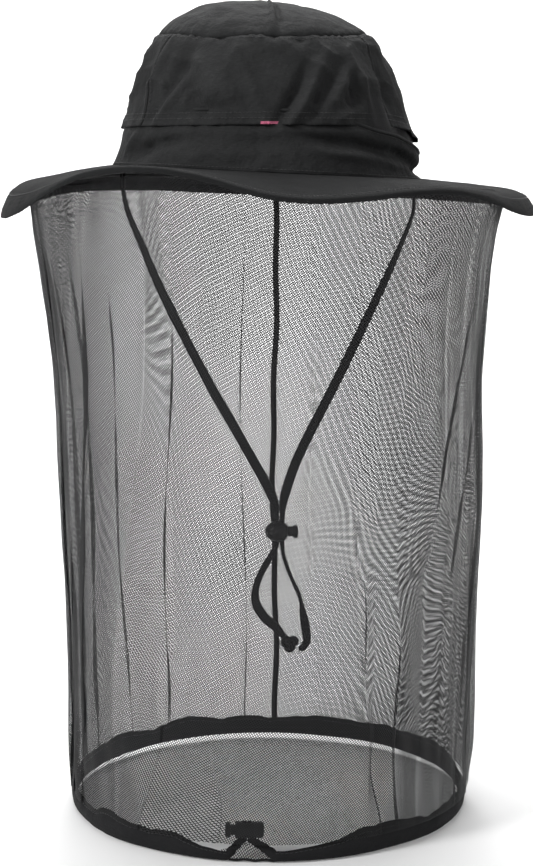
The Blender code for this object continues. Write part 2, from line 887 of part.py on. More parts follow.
def make_lock(prefix, lock, place, cutters):
    maker = make_ball_body if "ball_radius" in lock else make_barrel_body
    body = maker(f"{prefix}_body", lock, place)
    hollow_body(body, lock, place, cutters)
    plunger = make_plunger(f"{prefix}_plunger", lock, place, cutters)
    spring = make_lock_spring(f"{prefix}_spring", lock, place)
    return [body, plunger, spring]


# ---- the whole veil -------------------------------------------------------------------------


def main():
    clear_scene()
    veil = new_collection("beekeeping_veil")
    cutters = new_collection("cutters")
    cutters.hide_render = True
    finish = make_materials()
    fit_lock(CHIN_LOCK)
    fit_lock(HEM_LOCK)

    def add(pieces, material):
        for piece in pieces:
            finish_piece(piece, finish[material], veil)

    add([make_crown_tip(), *make_crown_panels(), make_lower_wall()], "crown_fabric")
    add([make_vent_mesh(), make_net()], "mesh")
    add([make_sweatband()], "lining")
    add([*make_seam_tapes(), make_net_tape(), make_back_seam(), make_binding()], "tape")
    add([make_tab()], "tab")
    top_ply, stiffener, under_ply = make_brim()
    add([top_ply, under_ply], "brim_fabric")
    add([stiffener], "foam")
    add([make_casing()], "tape")
    add([make_drawcord(), *make_strap(), make_knot()], "lace")
    add([make_anchor("strap_anchor_left", -1), make_anchor("strap_anchor_right", 1)], "tape")
    for prefix, lock, place in (
        ("chin_lock", CHIN_LOCK, CHIN_LOCK_PLACE),
        ("hem_lock", HEM_LOCK, hem_lock_place()),
    ):
        body, plunger, spring = make_lock(prefix, lock, place, cutters)
        add([body, plunger], "lock_plastic")
        add([spring], "spring_steel")


main()
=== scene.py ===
"""A beekeeping veil, built up the way it is sewn: laces, hat, brim, net, hem and cord locks."""

import math

import bmesh
import bpy
import numpy as np
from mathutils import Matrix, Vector, noise


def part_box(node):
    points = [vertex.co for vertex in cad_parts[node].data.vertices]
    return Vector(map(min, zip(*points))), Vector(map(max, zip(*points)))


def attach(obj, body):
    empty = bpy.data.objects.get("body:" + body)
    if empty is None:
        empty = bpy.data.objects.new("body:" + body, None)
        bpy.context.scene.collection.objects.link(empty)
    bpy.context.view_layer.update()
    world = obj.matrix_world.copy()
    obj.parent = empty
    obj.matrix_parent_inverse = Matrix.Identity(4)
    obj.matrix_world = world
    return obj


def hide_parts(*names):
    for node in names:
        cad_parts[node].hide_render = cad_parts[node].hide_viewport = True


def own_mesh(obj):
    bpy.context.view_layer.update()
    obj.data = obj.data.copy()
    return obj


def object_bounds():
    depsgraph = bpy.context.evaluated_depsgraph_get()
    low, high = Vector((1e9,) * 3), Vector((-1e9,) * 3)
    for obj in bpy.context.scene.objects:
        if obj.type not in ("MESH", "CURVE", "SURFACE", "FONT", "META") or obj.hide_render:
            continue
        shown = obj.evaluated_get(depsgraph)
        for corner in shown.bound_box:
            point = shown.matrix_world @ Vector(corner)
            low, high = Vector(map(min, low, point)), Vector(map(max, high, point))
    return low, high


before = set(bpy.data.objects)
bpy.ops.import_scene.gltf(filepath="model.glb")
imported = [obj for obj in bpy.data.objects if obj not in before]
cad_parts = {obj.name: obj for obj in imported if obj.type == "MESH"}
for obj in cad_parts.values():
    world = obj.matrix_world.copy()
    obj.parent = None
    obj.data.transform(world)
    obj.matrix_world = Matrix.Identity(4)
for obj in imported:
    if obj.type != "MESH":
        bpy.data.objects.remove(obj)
cad_low, cad_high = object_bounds()

# ---- Camera, floor and light ----------------------------------------------------------------
# The veil stands on its hem on a white paper sweep that curves up far behind it. Two large lamps
# over the paper keep it white, a key stands at the left in front, and a weak fill at the right.

FLOOR_HEIGHT = cad_low.z - 0.0005
CAMERA_DISTANCE = 1.38
CAMERA_HEIGHT = 0.038
CAMERA_TILT = math.radians(8.8)
FRAME_LENS = 87.6


def add_camera():
    lens = bpy.data.cameras.new("camera")
    lens.sensor_fit = "VERTICAL"
    lens.sensor_height = 36
    lens.lens = FRAME_LENS
    lens.clip_start = 0.05
    camera = bpy.data.objects.new("camera", lens)
    camera.location = (-0.001, -CAMERA_DISTANCE, CAMERA_HEIGHT)
    camera.rotation_euler = (math.pi / 2 - CAMERA_TILT, 0, 0)
    bpy.context.scene.collection.objects.link(camera)
    bpy.context.scene.camera = camera


def add_lamp(name, place, aim, size, power):
    lamp = bpy.data.lights.new(name, "AREA")
    lamp.shape = "DISK"
    lamp.size = size
    lamp.energy = power
    holder = bpy.data.objects.new(name, lamp)
    holder.location = place
    direction = Vector(aim) - Vector(place)
    holder.rotation_euler = direction.to_track_quat("-Z", "Y").to_euler()
    bpy.context.scene.collection.objects.link(holder)


def add_paper_sweep():
    half_width, front, bend, back, top = 6, -6, 3.5, 4.5, 2.4
    profile = [(front, FLOOR_HEIGHT), (bend, FLOOR_HEIGHT)]
    radius = back - bend
    for step in range(1, 13):
        turn = math.pi / 2 * step / 12
        rise = radius * (1 - math.cos(turn))
        profile.append((bend + radius * math.sin(turn), FLOOR_HEIGHT + rise))
    profile.append((back, top))
    shape = bmesh.new()
    left, right = (
        [shape.verts.new((x, y, z)) for y, z in profile] for x in (-half_width, half_width)
    )
    for index in range(len(profile) - 1):
        shape.faces.new((left[index], right[index], right[index + 1], left[index + 1]))
    mesh = bpy.data.meshes.new("paper_sweep")
    shape.to_mesh(mesh)
    shape.free()
    mesh.shade_smooth()
    paper = bpy.data.materials.new("white_paper")
    paper.use_nodes = True
    shader = paper.node_tree.nodes["Principled BSDF"]
    shader.inputs["Base Color"].default_value = (0.90, 0.90, 0.90, 1)
    shader.inputs["Roughness"].default_value = 0.9
    mesh.materials.append(paper)
    sweep = bpy.data.objects.new("paper_sweep", mesh)
    bpy.context.scene.collection.objects.link(sweep)


def light_the_room():
    world = bpy.data.worlds.new("studio")
    world.use_nodes = True
    background = world.node_tree.nodes["Background"]
    background.inputs["Color"].default_value = (1, 1, 1, 1)
    background.inputs["Strength"].default_value = 0.52
    bpy.context.scene.world = world
    bpy.context.scene.view_settings.view_transform = "Standard"
    add_lamp("key_lamp", (-1.5, -1.1, 0.9), (0, 0, -0.05), 0.6, 30)
    add_lamp("fill_lamp", (1.5, -1.3, 0.7), (0, 0, -0.1), 1.2, 4)
    add_lamp("paper_lamp", (0, 1.3, 2.4), (0, 1.3, -0.4), 2.4, 92)
    add_lamp("far_paper_lamp", (0, 3.2, 2.6), (0, 4.0, -0.2), 1.6, 75)


add_camera()
add_paper_sweep()
light_the_room()

# ---- Chin strap -----------------------------------------------------------------------------
# Two flat braided polyester laces, 6.5 mm wide, hang from the sides of the head seam. They turn
# on edge near the top, are pressed narrow in the cord lock, and end tied together in a knot.

LACE_WIDTH = 0.0065
LACE_THICKNESS = 0.0017
KNOT_TIGHTNESS = 3.05
KNOT_STRAND = (0.0026, 0.0017)
SWING_HEIGHT = -0.0143


STRAP_LEFT_ROUTE = (
    (-0.0945, 0.0, -0.0146), (-0.0912, 0.0, -0.0300), (-0.0811, 0.0, -0.0545),
    (-0.0690, 0.0, -0.0830), (-0.0412, 0.0, -0.1380), (-0.0128, 0.0, -0.1890),
    (0.0008, 0.0, -0.2140), (0.0050, 0.0, -0.2250), (0.00595, 0.0, -0.2343),
)
STRAP_RIGHT_ROUTE = (
    (0.0945, 0.0, -0.0146), (0.0946, 0.0, -0.0300), (0.0853, 0.0, -0.0545),
    (0.0727, 0.0, -0.0830), (0.0466, 0.0, -0.1380), (0.0212, 0.0, -0.1890),
    (0.0122, 0.0, -0.2140), (0.0098, 0.0, -0.2250), (0.00945, 0.0, -0.2343),
)
LOOP_LEFT_ROUTE = (
    (0.00595, 0.0, -0.2347), (0.00595, 0.0, -0.2490), (0.0035, 0.0, -0.2560),
    (-0.0010, 0.0002, -0.2640), (-0.0065, 0.0, -0.2750), (-0.0087, 0.0, -0.2857),
    (-0.0067, 0.0, -0.2945), (-0.0002, -0.0005, -0.3030), (0.0060, -0.0005, -0.3085),
    (0.0102, 0.0, -0.3140),
)
LOOP_RIGHT_ROUTE = (
    (0.00945, 0.0, -0.2347), (0.00945, 0.0, -0.2490), (0.0108, 0.0, -0.2600),
    (0.0160, 0.0, -0.2745), (0.0212, 0.0, -0.2863), (0.0236, 0.0, -0.2986),
    (0.0256, 0.0, -0.3100), (0.0262, 0.0, -0.3165), (0.0240, 0.0, -0.3215),
    (0.0207, 0.0, -0.3225),
)


def smooth_route(points, spacing):
    """Points a given way apart on a smooth curve through a route's own points."""
    route = [Vector(point) for point in points]
    route = [2 * route[0] - route[1], *route, 2 * route[-1] - route[-2]]
    fine = []
    for before, start, end, after in zip(route, route[1:], route[2:], route[3:]):
        for step in range(40):
            share = step / 40
            bend = (2 * before - 5 * start + 4 * end - after) * share**2
            twist = (3 * start - before - 3 * end + after) * share**3
            fine.append(0.5 * (2 * start + (end - before) * share + bend + twist))
    fine.append(route[-2])
    walked = [0.0]
    for before, after in zip(fine, fine[1:]):
        walked.append(walked[-1] + (after - before).length)
    count = max(2, round(walked[-1] / spacing))
    marks = np.linspace(0, walked[-1], count + 1)
    columns = [np.interp(marks, walked, [point[axis] for point in fine]) for axis in range(3)]
    return [Vector(point) for point in zip(*columns)]


def mesh_piece(name, points, faces, uvs, material):
    """A mesh object at the origin, with a UV map in metres along the cloth or cord."""
    mesh = bpy.data.meshes.new(name)
    mesh.from_pydata([tuple(point) for point in points], [], faces)
    layer = mesh.uv_layers.new(name="cloth")
    corners = [corner for face_corners in uvs for corner in face_corners]
    layer.data.foreach_set("uv", np.array(corners, float).ravel())
    mesh.shade_smooth()
    mesh.materials.append(material)
    piece = bpy.data.objects.new(name, mesh)
    bpy.context.scene.collection.objects.link(piece)
    return piece


def turn_outward(piece, merge=0.0):
    """Points a closed mesh's faces outwards, once its doubles are merged."""
    shape = bmesh.new()
    shape.from_mesh(piece.data)
    if merge:
        bmesh.ops.remove_doubles(shape, verts=shape.verts, dist=merge)
    bmesh.ops.recalc_face_normals(shape, faces=shape.faces)
    shape.to_mesh(piece.data)
    shape.free()
    return piece


def distances_along(path):
    walked = [0.0]
    for before, after in zip(path, path[1:]):
        walked.append(walked[-1] + (after - before).length)
    return walked


def tube_faces(distances, around, girth, closed=False, capped=False, lengthwise=False):
    """Joins rings of points into a tube. Its UV map runs across and along, or lengthwise first."""
    spans = len(distances) - 1
    rings = spans if closed else spans + 1
    faces, uvs = [], []
    for index in range(spans):
        row, following = index * around, (index + 1) % rings * around
        near, far = distances[index], distances[index + 1]
        for step in range(around):
            after = (step + 1) % around
            left, right = girth * step / around, girth * (step + 1) / around
            corners = ((left, near), (right, near), (right, far), (left, far))
            faces.append((row + step, row + after, following + after, following + step))
            uvs.append([corner[::-1] for corner in corners] if lengthwise else corners)
    if capped:
        last = spans * around
        faces += [tuple(range(around)), tuple(range(last + around - 1, last - 1, -1))]
        uvs += [[(0.0, 0.0)] * around, [(0.0, distances[-1])] * around]
    return faces, uvs


def neighbours(path, index):
    """From the point before to the point after, along an open path."""
    return path[min(index + 1, len(path) - 1)] - path[max(index - 1, 0)]


def swept_cord(name, path, section_at, material, side=Vector((0, 1, 0))):
    """A closed tube along a path. section_at(share) gives half width, half thickness and twist."""
    around = 14
    points = []
    distances = distances_along(path)
    for index, place in enumerate(path):
        across = neighbours(path, index).cross(side).normalized()
        half_width, half_thickness, twist = section_at(distances[index] / distances[-1])
        wide = across * math.cos(twist) + side * math.sin(twist)
        thin = side * math.cos(twist) - across * math.sin(twist)
        for step in range(around):
            turn = 2 * math.pi * step / around
            x = math.copysign(abs(math.cos(turn)) ** 0.6, math.cos(turn))
            y = math.copysign(abs(math.sin(turn)) ** 0.6, math.sin(turn))
            points.append(place + wide * half_width * x + thin * half_thickness * y)
    faces, uvs = tube_faces(distances, around, 2 * LACE_WIDTH, capped=True)
    return turn_outward(mesh_piece(name, points, faces, uvs, material))


class Finish:
    """A material with one Principled shader, and short ways to add the nodes that feed it."""

    def __init__(self, name, colour, roughness, metallic=0.0, sheen=0.0, specular=0.4):
        self.material = bpy.data.materials.new(name)
        self.material.use_nodes = True
        self.nodes = self.material.node_tree.nodes
        self.links = self.material.node_tree.links
        self.shader = self.nodes["Principled BSDF"]
        self.colour = colour
        self.shader.inputs["Base Color"].default_value = (*colour, 1)
        self.shader.inputs["Roughness"].default_value = roughness
        self.shader.inputs["Metallic"].default_value = metallic
        self.shader.inputs["Specular IOR Level"].default_value = specular
        self.shader.inputs["Sheen Weight"].default_value = sheen
        self.shader.inputs["Sheen Roughness"].default_value = 0.45
        self.bump_out = None
        places = self.nodes.new("ShaderNodeTexCoord")
        self.cloth = places.outputs["UV"]
        self.space = places.outputs["Object"]

    def add(self, kind, **values):
        node = self.nodes.new(f"ShaderNode{kind}")
        for key, value in values.items():
            setattr(node, key, value)
        return node

    def link(self, source, target):
        self.links.new(source, target)

    def math(self, operation, first, second=None):
        node = self.add("Math", operation=operation)
        for socket, value in zip(node.inputs, (first, second)):
            if value is None:
                continue
            if isinstance(value, (int, float)):
                socket.default_value = value
            else:
                self.link(value, socket)
        return node.outputs[0]

    def noise(self, scale, detail=3.0, where=None, roughness=0.55):
        node = self.add("TexNoise")
        node.inputs["Scale"].default_value = scale
        node.inputs["Detail"].default_value = detail
        node.inputs["Roughness"].default_value = roughness
        self.link(where or self.space, node.inputs["Vector"])
        return node.outputs["Fac"]

    def stripes(self, direction, pitch, where=None):
        """A smooth wave from 0 to 1 that repeats every pitch along a direction of the cloth."""
        dot = self.add("VectorMath", operation="DOT_PRODUCT")
        self.link(where or self.cloth, dot.inputs[0])
        dot.inputs[1].default_value = Vector(direction).normalized() * (2 * math.pi / pitch)
        wave = self.math("COSINE", dot.outputs["Value"])
        return self.math("ADD", self.math("MULTIPLY", wave, 0.5), 0.5)

    def ramp(self, source, low, high, to_low=0.0, to_high=1.0):
        node = self.add("MapRange")
        self.link(source, node.inputs["Value"])
        limits = {"From Min": low, "From Max": high, "To Min": to_low, "To Max": to_high}
        for key, value in limits.items():
            node.inputs[key].default_value = value
        return node.outputs["Result"]

    def bump(self, height, distance, strength=1.0):
        node = self.add("Bump")
        node.inputs["Strength"].default_value = strength
        node.inputs["Distance"].default_value = distance
        self.link(height, node.inputs["Height"])
        if self.bump_out:
            self.link(self.bump_out, node.inputs["Normal"])
        self.bump_out = node.outputs["Normal"]
        self.link(self.bump_out, self.shader.inputs["Normal"])

    def shade(self, factor, low, high):
        """Multiplies the base colour by a value between low and high."""
        scale = self.ramp(factor, 0.0, 1.0, low, high)
        node = self.add("VectorMath", operation="SCALE")
        source = self.shader.inputs["Base Color"]
        if source.is_linked:
            self.link(source.links[0].from_socket, node.inputs[0])
        else:
            node.inputs[0].default_value = self.colour
        self.link(scale, node.inputs["Scale"])
        self.link(node.outputs["Vector"], source)

    def rough(self, factor, low, high):
        self.link(self.ramp(factor, 0.0, 1.0, low, high), self.shader.inputs["Roughness"])


def braid_finish():
    """Braided lace: two families of yarns that cross at 45 degrees, with fuzz on top."""
    finish = Finish("braided_lace", (0.012, 0.012, 0.013), 0.85, sheen=0.06, specular=0.2)
    pitch = 0.0016
    one = finish.stripes((0.7, 0.7, 0), pitch)
    other = finish.stripes((0.7, -0.7, 0), pitch)
    weave = finish.math("MAXIMUM", one, other)
    finish.bump(weave, 0.00028)
    fuzz = finish.noise(2600, 2)
    finish.bump(fuzz, 0.00008, 0.7)
    finish.shade(weave, 0.45, 1.25)
    finish.shade(finish.noise(180, 2), 0.8, 1.2)
    finish.rough(fuzz, 0.7, 0.95)
    return finish.material


lace_cloth = braid_finish()


def lace_section(width_keys, twist_keys):
    """How wide the lace is and how it is turned, from keys of (share along it, value)."""

    def section(share):
        half_width = 0.5 * np.interp(share, *zip(*width_keys))
        half_thickness = LACE_THICKNESS / 2 * (LACE_WIDTH / 2 / half_width) ** 0.5
        twist = math.radians(np.interp(share, *zip(*twist_keys)))
        return half_width, half_thickness, twist

    return section


def make_laces():
    full, pressed = LACE_WIDTH, 0.0034
    top_widths = ((0, 0.0052), (0.05, full), (0.93, full), (0.985, pressed), (1, pressed))
    loop_widths = (
        (0, pressed), (0.17, pressed), (0.30, 0.0052), (0.75, full), (0.93, 0.0058), (1, 0.0040)
    )
    laces = {
        "chin_lace_left": (
            STRAP_LEFT_ROUTE,
            lace_section(top_widths, ((0, 78), (0.12, 62), (0.35, 30), (0.6, 16), (1, 6))),
        ),
        "chin_lace_right": (
            STRAP_RIGHT_ROUTE,
            lace_section(top_widths, ((0, 84), (0.10, 72), (0.3, 38), (0.55, 12), (1, -4))),
        ),
        "loop_lace_left": (
            LOOP_LEFT_ROUTE,
            lace_section(loop_widths, ((0, 4), (0.3, 40), (0.55, 42), (0.72, 10), (1, 20))),
        ),
        "loop_lace_right": (
            LOOP_RIGHT_ROUTE,
            lace_section(loop_widths, ((0, -4), (0.22, 80), (0.62, 78), (0.8, 18), (1, 35))),
        ),
    }
    made = {}
    for name, (route, section) in laces.items():
        path = smooth_route(route, 0.0016)
        made[name] = swept_cord(name, path, section, lace_cloth), path
    return made


def make_knot():
    """An overhand knot: a trefoil of the same lace, drawn tight."""
    low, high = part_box("strap_knot")
    centre = (low + high) / 2
    size = (high.x - centre.x) / KNOT_TIGHTNESS
    steps, around = 72, 12
    path = []
    for step in range(steps + 1):
        turn = 2 * math.pi * step / steps
        x = math.sin(turn) + 2 * math.sin(2 * turn)
        z = math.cos(turn) - 2 * math.cos(2 * turn)
        path.append(centre + size * Vector((x, 1.1 * math.sin(3 * turn), z)))
    points = []
    for index in range(steps):
        ahead = (path[index + 1] - path[index - 1 if index else steps - 1]).normalized()
        wide = ahead.cross((path[index] - centre).normalized()).normalized()
        thin = wide.cross(ahead)
        for step in range(around):
            turn = 2 * math.pi * step / around
            across = wide * KNOT_STRAND[0] * math.cos(turn)
            points.append(path[index] + across + thin * KNOT_STRAND[1] * math.sin(turn))
    distances = [0.0006 * index for index in range(steps + 1)]
    faces, uvs = tube_faces(distances, around, 0.012, closed=True)
    return turn_outward(mesh_piece("lace_knot", points, faces, uvs, lace_cloth))


laces = make_laces()
knot = make_knot()
for side in ("left", "right"):
    piece, path = laces[f"chin_lace_{side}"]
    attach(piece, "chin_strap")
    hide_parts(f"strap_{side}")
    distances_along(path)[-1]
    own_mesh(piece)
    piece, path = laces[f"loop_lace_{side}"]
    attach(piece, "chin_lock")
    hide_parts(f"loop_strand_{side}")
    distances_along(path)[-1]
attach(knot, "chin_lock")
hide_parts("strap_knot")

# ---- Crown ----------------------------------------------------------------------------------
# Soft nylon: a round tip, a front and a back panel, sewn with the seams turned in. The panels
# end in a free flap with a double-stitched hem. The hat leans: its left side sits higher.

HAT_DEPTH_EXTRA = 0.006
LEAN = 0.06
CROWN_CLOTH = 0.0006
SHOULDER_BULGE = 0.0050
SEAM_TURNS = (math.radians(-57), math.radians(57))
CROWN_OUTLINE = (
    (0.0, 0.0, 0.1040), (0.0215, 0.0, 0.1030), (0.0420, 0.0, 0.0985), (0.0572, 0.0, 0.0905),
    (0.0665, 0.0, 0.0825), (0.0768, 0.0, 0.0690), (0.0845, 0.0, 0.0520), (0.0900, 0.0, 0.0335),
    (0.0938, 0.0, 0.0200), (0.0952, 0.0, 0.0080),
)


def around_hat(keys):
    """A smooth value round the hat, from (degrees from the front, value) keys. +X is positive."""
    places = np.radians([key[0] for key in keys])
    values = np.array([key[1] for key in keys])
    full = 2 * math.pi
    fine = np.linspace(-math.pi, math.pi, 361)
    tiled = np.concatenate([places - full, places, places + full])
    rough = np.interp(np.linspace(-2 * math.pi, 2 * math.pi, 721), tiled, np.tile(values, 3))
    bell = np.exp(-(np.linspace(-1.6, 1.6, 17) ** 2))
    soft = np.convolve(rough, bell / bell.sum(), mode="same")[180:541]

    def value(turn):
        return float(np.interp((turn + math.pi) % full - math.pi, fine, soft))

    return value


def on_hat(turn, radius, height, depth_extra=HAT_DEPTH_EXTRA):
    """A point at an angle from the front of the hat (+X side positive)."""
    deep = (radius + depth_extra) * -math.cos(turn)
    return Vector((radius * math.sin(turn), deep, height))


crown_outline = np.array(smooth_route(CROWN_OUTLINE, 0.001))
tip_seam_height = around_hat(((-180, 0.083), (-90, 0.084), (0, 0.0805), (90, 0.084)))
flap_hem_height = around_hat(
    (
        (-180, 0.0200), (-125, 0.0210), (-90, 0.0245), (-60, 0.0262), (0, 0.0277), (58, 0.0262),
        (74, 0.0215), (90, 0.0150), (115, 0.0155), (150, 0.0190),
    )
)
flap_stand_off = around_hat(((0, 0), (50, 0), (75, 0.0024), (92, 0.0030), (120, 0.0016), (150, 0)))
FOLD_DEPTH = 1.9

# Folds of the crown: degrees from the front, height, lean, length, width, rise (m, out is +)
CROWN_FOLDS = (
    (9, 0.040, 58, 0.026, 0.0042, -0.0030),
    (15, 0.043, 54, 0.027, 0.0040, 0.0024),
    (23, 0.044, 48, 0.026, 0.0044, -0.0026),
    (31, 0.049, 44, 0.020, 0.0042, 0.0022),
    (38, 0.046, 72, 0.014, 0.0052, -0.0030),
    (44, 0.055, 118, 0.016, 0.0042, 0.0020),
    (49, 0.038, 100, 0.014, 0.0040, -0.0020),
    (34, 0.034, 12, 0.014, 0.0034, 0.0014),
    (60, 0.044, 97, 0.022, 0.0038, -0.0020),
    (68, 0.052, 100, 0.024, 0.0050, 0.0018),
    (79, 0.046, 92, 0.022, 0.0050, -0.0018),
    (3, 0.095, 82, 0.012, 0.0030, 0.0014),
    (7, 0.094, 84, 0.010, 0.0024, -0.0013),
    (2, 0.080, 0, 0.004, 0.0022, -0.0013),
    (16, 0.078, 10, 0.004, 0.0020, -0.0012),
    (-26, 0.081, -12, 0.006, 0.0022, -0.0012),
    (-6, 0.046, 118, 0.026, 0.0046, 0.0017),
    (-12, 0.050, 122, 0.026, 0.0050, -0.0014),
    (-24, 0.050, 128, 0.024, 0.0048, 0.0018),
    (-33, 0.048, 124, 0.022, 0.0046, -0.0018),
    (-42, 0.044, 50, 0.020, 0.0046, 0.0018),
    (-49, 0.040, 56, 0.022, 0.0044, -0.0020),
    (-40, 0.064, 66, 0.020, 0.0060, -0.0014),
    (-55, 0.062, 74, 0.020, 0.0050, 0.0016),
    (-63, 0.042, 98, 0.022, 0.0045, -0.0018),
    (-26, 0.036, 10, 0.018, 0.0036, -0.0014),
    (-74, 0.056, 80, 0.022, 0.0055, 0.0017),
    (110, 0.052, 70, 0.030, 0.0080, -0.0024),
    (128, 0.060, 100, 0.026, 0.0070, 0.0020),
    (150, 0.050, 60, 0.030, 0.0080, -0.0022),
    (172, 0.058, 95, 0.024, 0.0070, 0.0018),
    (-170, 0.042, 30, 0.030, 0.0080, -0.0022),
    (-150, 0.060, 110, 0.026, 0.0070, 0.0018),
    (-132, 0.046, 50, 0.026, 0.0080, -0.0024),
    (-105, 0.055, 82, 0.026, 0.0060, 0.0016),
)


def fold_rise(folds, turn, height, radius):
    rise = 0.0
    for degrees, fold_height, lean, length, width, depth in folds:
        apart = (turn - math.radians(degrees) + math.pi) % (2 * math.pi) - math.pi
        side, up = apart * radius, height - fold_height
        slope = math.radians(lean)
        along = (side * math.cos(slope) + up * math.sin(slope)) / length
        across = (up * math.cos(slope) - side * math.sin(slope)) / width
        if abs(along) < 2.5 and abs(across) < 2.5:
            rise += FOLD_DEPTH * depth * math.exp(-along * along - across * across)
    return rise


def smooth_step(value):
    value = min(1.0, max(0.0, value))
    return value * value * (3 - 2 * value)


def crumple(place, size, seed=0.0):
    return noise.noise(place / size + Vector((seed, -seed, 2 * seed)))


def seam_sink(distance, width=0.0013, depth=0.0009):
    return -depth * math.exp(-((distance / width) ** 2))


def crown_surface(turn, radius, height):
    """Adds the folds, the seams and the lean to a point of the smooth crown outline."""
    place = on_hat(turn, radius, height, HAT_DEPTH_EXTRA * min(1.0, radius / 0.06))
    rise = fold_rise(CROWN_FOLDS, turn, height, 0.09)
    calm = 1 - 0.62 * smooth_step((height - 0.072) / 0.02)
    rise += calm * (0.0022 * crumple(place, 0.034, 3.1) + 0.0011 * crumple(place, 0.013, 7.7))
    ridge = 1 - abs(crumple(place + Vector((0, 0, 0.4 * place.x)), 0.022, 5.2))
    rise += calm * 0.0020 * (ridge**4 - 0.3)
    above_seam = height - tip_seam_height(turn)
    rise += seam_sink(above_seam)
    gathers = 0.5 + 0.5 * math.sin(turn * 9 + 2)
    rise += 0.0006 * gathers * math.sin(turn * 74) * math.exp(-((above_seam / 0.0035) ** 2))
    if height < tip_seam_height(turn):
        for seam in SEAM_TURNS:
            rise += seam_sink((turn - seam) * 0.09, depth=0.0005)
    outward = Vector((place.x, place.y, 0)).normalized() if radius > 0.001 else Vector()
    bulge = math.exp(-(((height - 0.084) / 0.016) ** 2)) * max(0.0, math.sin(turn))
    place.x += SHOULDER_BULGE * bulge * min(1.0, radius / 0.05)
    tilt = min(1.0, max(0.0, (height - 0.060) / 0.044))
    outward = (outward * (1 - tilt) + Vector((0, 0, tilt))).normalized()
    return place + outward * rise


def lean_at(turn):
    """How far the hat's lean lowers the crown at an angle from the front."""
    return LEAN * 0.09 * math.sin(turn)


def crown_radius(height):
    return np.interp(-height, -crown_outline[:, 2], crown_outline[:, 0])


def crown_side(turn, share, outward=0.0):
    """A point of the crown's side: share is 0 at the tip seam and 1 at the flap's hem."""
    top, bottom = tip_seam_height(turn), flap_hem_height(turn)
    height = top + (bottom - top) * share
    radius = crown_radius(height + lean_at(turn))
    hem = max(0.0, (share - 0.55) / 0.45)
    radius += flap_stand_off(turn) * hem**2 + 0.0006 * math.exp(-(((1 - share) / 0.06) ** 2))
    pucker = 0.0003 * math.sin(turn * 92 + 3 * math.sin(turn * 17))
    radius += pucker * math.exp(-(((1 - share) / 0.10) ** 2))
    return crown_surface(turn, radius + outward, height)


def crown_top(turn, share):
    """A point of the crown's tip: share is 0 in the middle and 1 at the seam."""
    radius = crown_radius(tip_seam_height(turn) + lean_at(turn)) * share
    height = np.interp(radius, crown_outline[:, 0], crown_outline[:, 2]) - lean_at(turn) * share
    pucker = 0.0004 * math.sin(turn * 60 + 2 * math.sin(turn * 13)) * share**12
    return crown_surface(turn, radius, height + pucker)


def cloth_grid(name, place, turns, shares, material, thickness, closed=True):
    """A cloth wall over a grid of turns and shares, its UV map in metres of cloth."""
    grid = np.array([[place(turn, share) for turn in turns] for share in shares])
    steps = np.linalg.norm(np.diff(np.concatenate([grid, grid[:, :1]], 1), axis=1), axis=2)
    across = np.concatenate([[0.0], np.cumsum(steps.mean(axis=0))])
    drops = np.linalg.norm(np.diff(grid, axis=0), axis=2).mean(axis=1)
    down = -np.concatenate([[0.0], np.cumsum(drops)])
    count = len(turns)
    faces, uvs = [], []
    for row in range(len(shares) - 1):
        for column in range(count if closed else count - 1):
            after = (column + 1) % count
            corners = ((row, 0), (row + 1, 0), (row + 1, 1), (row, 1))
            spots = (column, after)
            faces.append(tuple(line * count + spots[side] for line, side in corners))
            uvs.append([(across[column + side], down[line]) for line, side in corners])
    piece = mesh_piece(name, grid.reshape(-1, 3), faces, uvs, material)
    if thickness:
        thicken(piece, thickness)
    return piece


def thicken(piece, thickness):
    """Gives an open sheet its thickness, inwards from the outer face."""
    wall = piece.modifiers.new("wall", "SOLIDIFY")
    wall.thickness = thickness
    wall.offset = -1
    bake(piece)


def bake(piece):
    """Applies a piece's modifiers to its mesh."""
    graph = bpy.context.evaluated_depsgraph_get()
    mesh = bpy.data.meshes.new_from_object(piece.evaluated_get(graph))
    old = piece.data
    piece.modifiers.clear()
    piece.data = mesh
    bpy.data.meshes.remove(old)


def merge_points(piece, distance=0.00002):
    shape = bmesh.new()
    shape.from_mesh(piece.data)
    bmesh.ops.remove_doubles(shape, verts=shape.verts, dist=distance)
    shape.to_mesh(piece.data)
    shape.free()


def nylon_finish(name, colour, weave=0.00045, crease=1.0, shine=0.06):
    """Calendered plain-weave nylon: fine threads, a soft shine on the ridges, a blotchy tone."""
    finish = Finish(name, colour, 0.74, sheen=0.02, specular=shine)
    warp = finish.stripes((1, 0, 0), weave)
    weft = finish.stripes((0, 1, 0), weave * 1.15)
    threads = finish.math("MULTIPLY", warp, weft)
    slub = finish.noise(1.0, 2, stretched(finish, (240, 2400, 1)))
    finish.bump(finish.noise(55, 4), 0.0030 * crease, 0.55)
    finish.bump(finish.noise(190, 3), 0.0010 * crease, 0.6)
    finish.bump(slub, 0.00030, 0.8)
    finish.bump(threads, 0.00010, 0.8)
    finish.shade(threads, 0.80, 1.16)
    finish.shade(slub, 0.62, 1.38)
    # Blotches a little darker and lighter at random, not placed in the creases.
    finish.shade(finish.noise(34, 3), 0.72, 1.28)
    finish.rough(finish.noise(90, 3), 0.64, 0.84)
    return finish.material


def stretched(finish, scale):
    """The cloth's UV map, drawn out so that noise on it runs in streaks."""
    node = finish.add("VectorMath", operation="MULTIPLY")
    finish.link(finish.cloth, node.inputs[0])
    node.inputs[1].default_value = scale
    return node.outputs["Vector"]


def turns_between(start, end, count):
    return [start + (end - start) * step / count for step in range(count + 1)]


def even_shares(count):
    return [step / count for step in range(count + 1)]


def whole_ring(count):
    return turns_between(0, 2 * math.pi, count)[:-1]


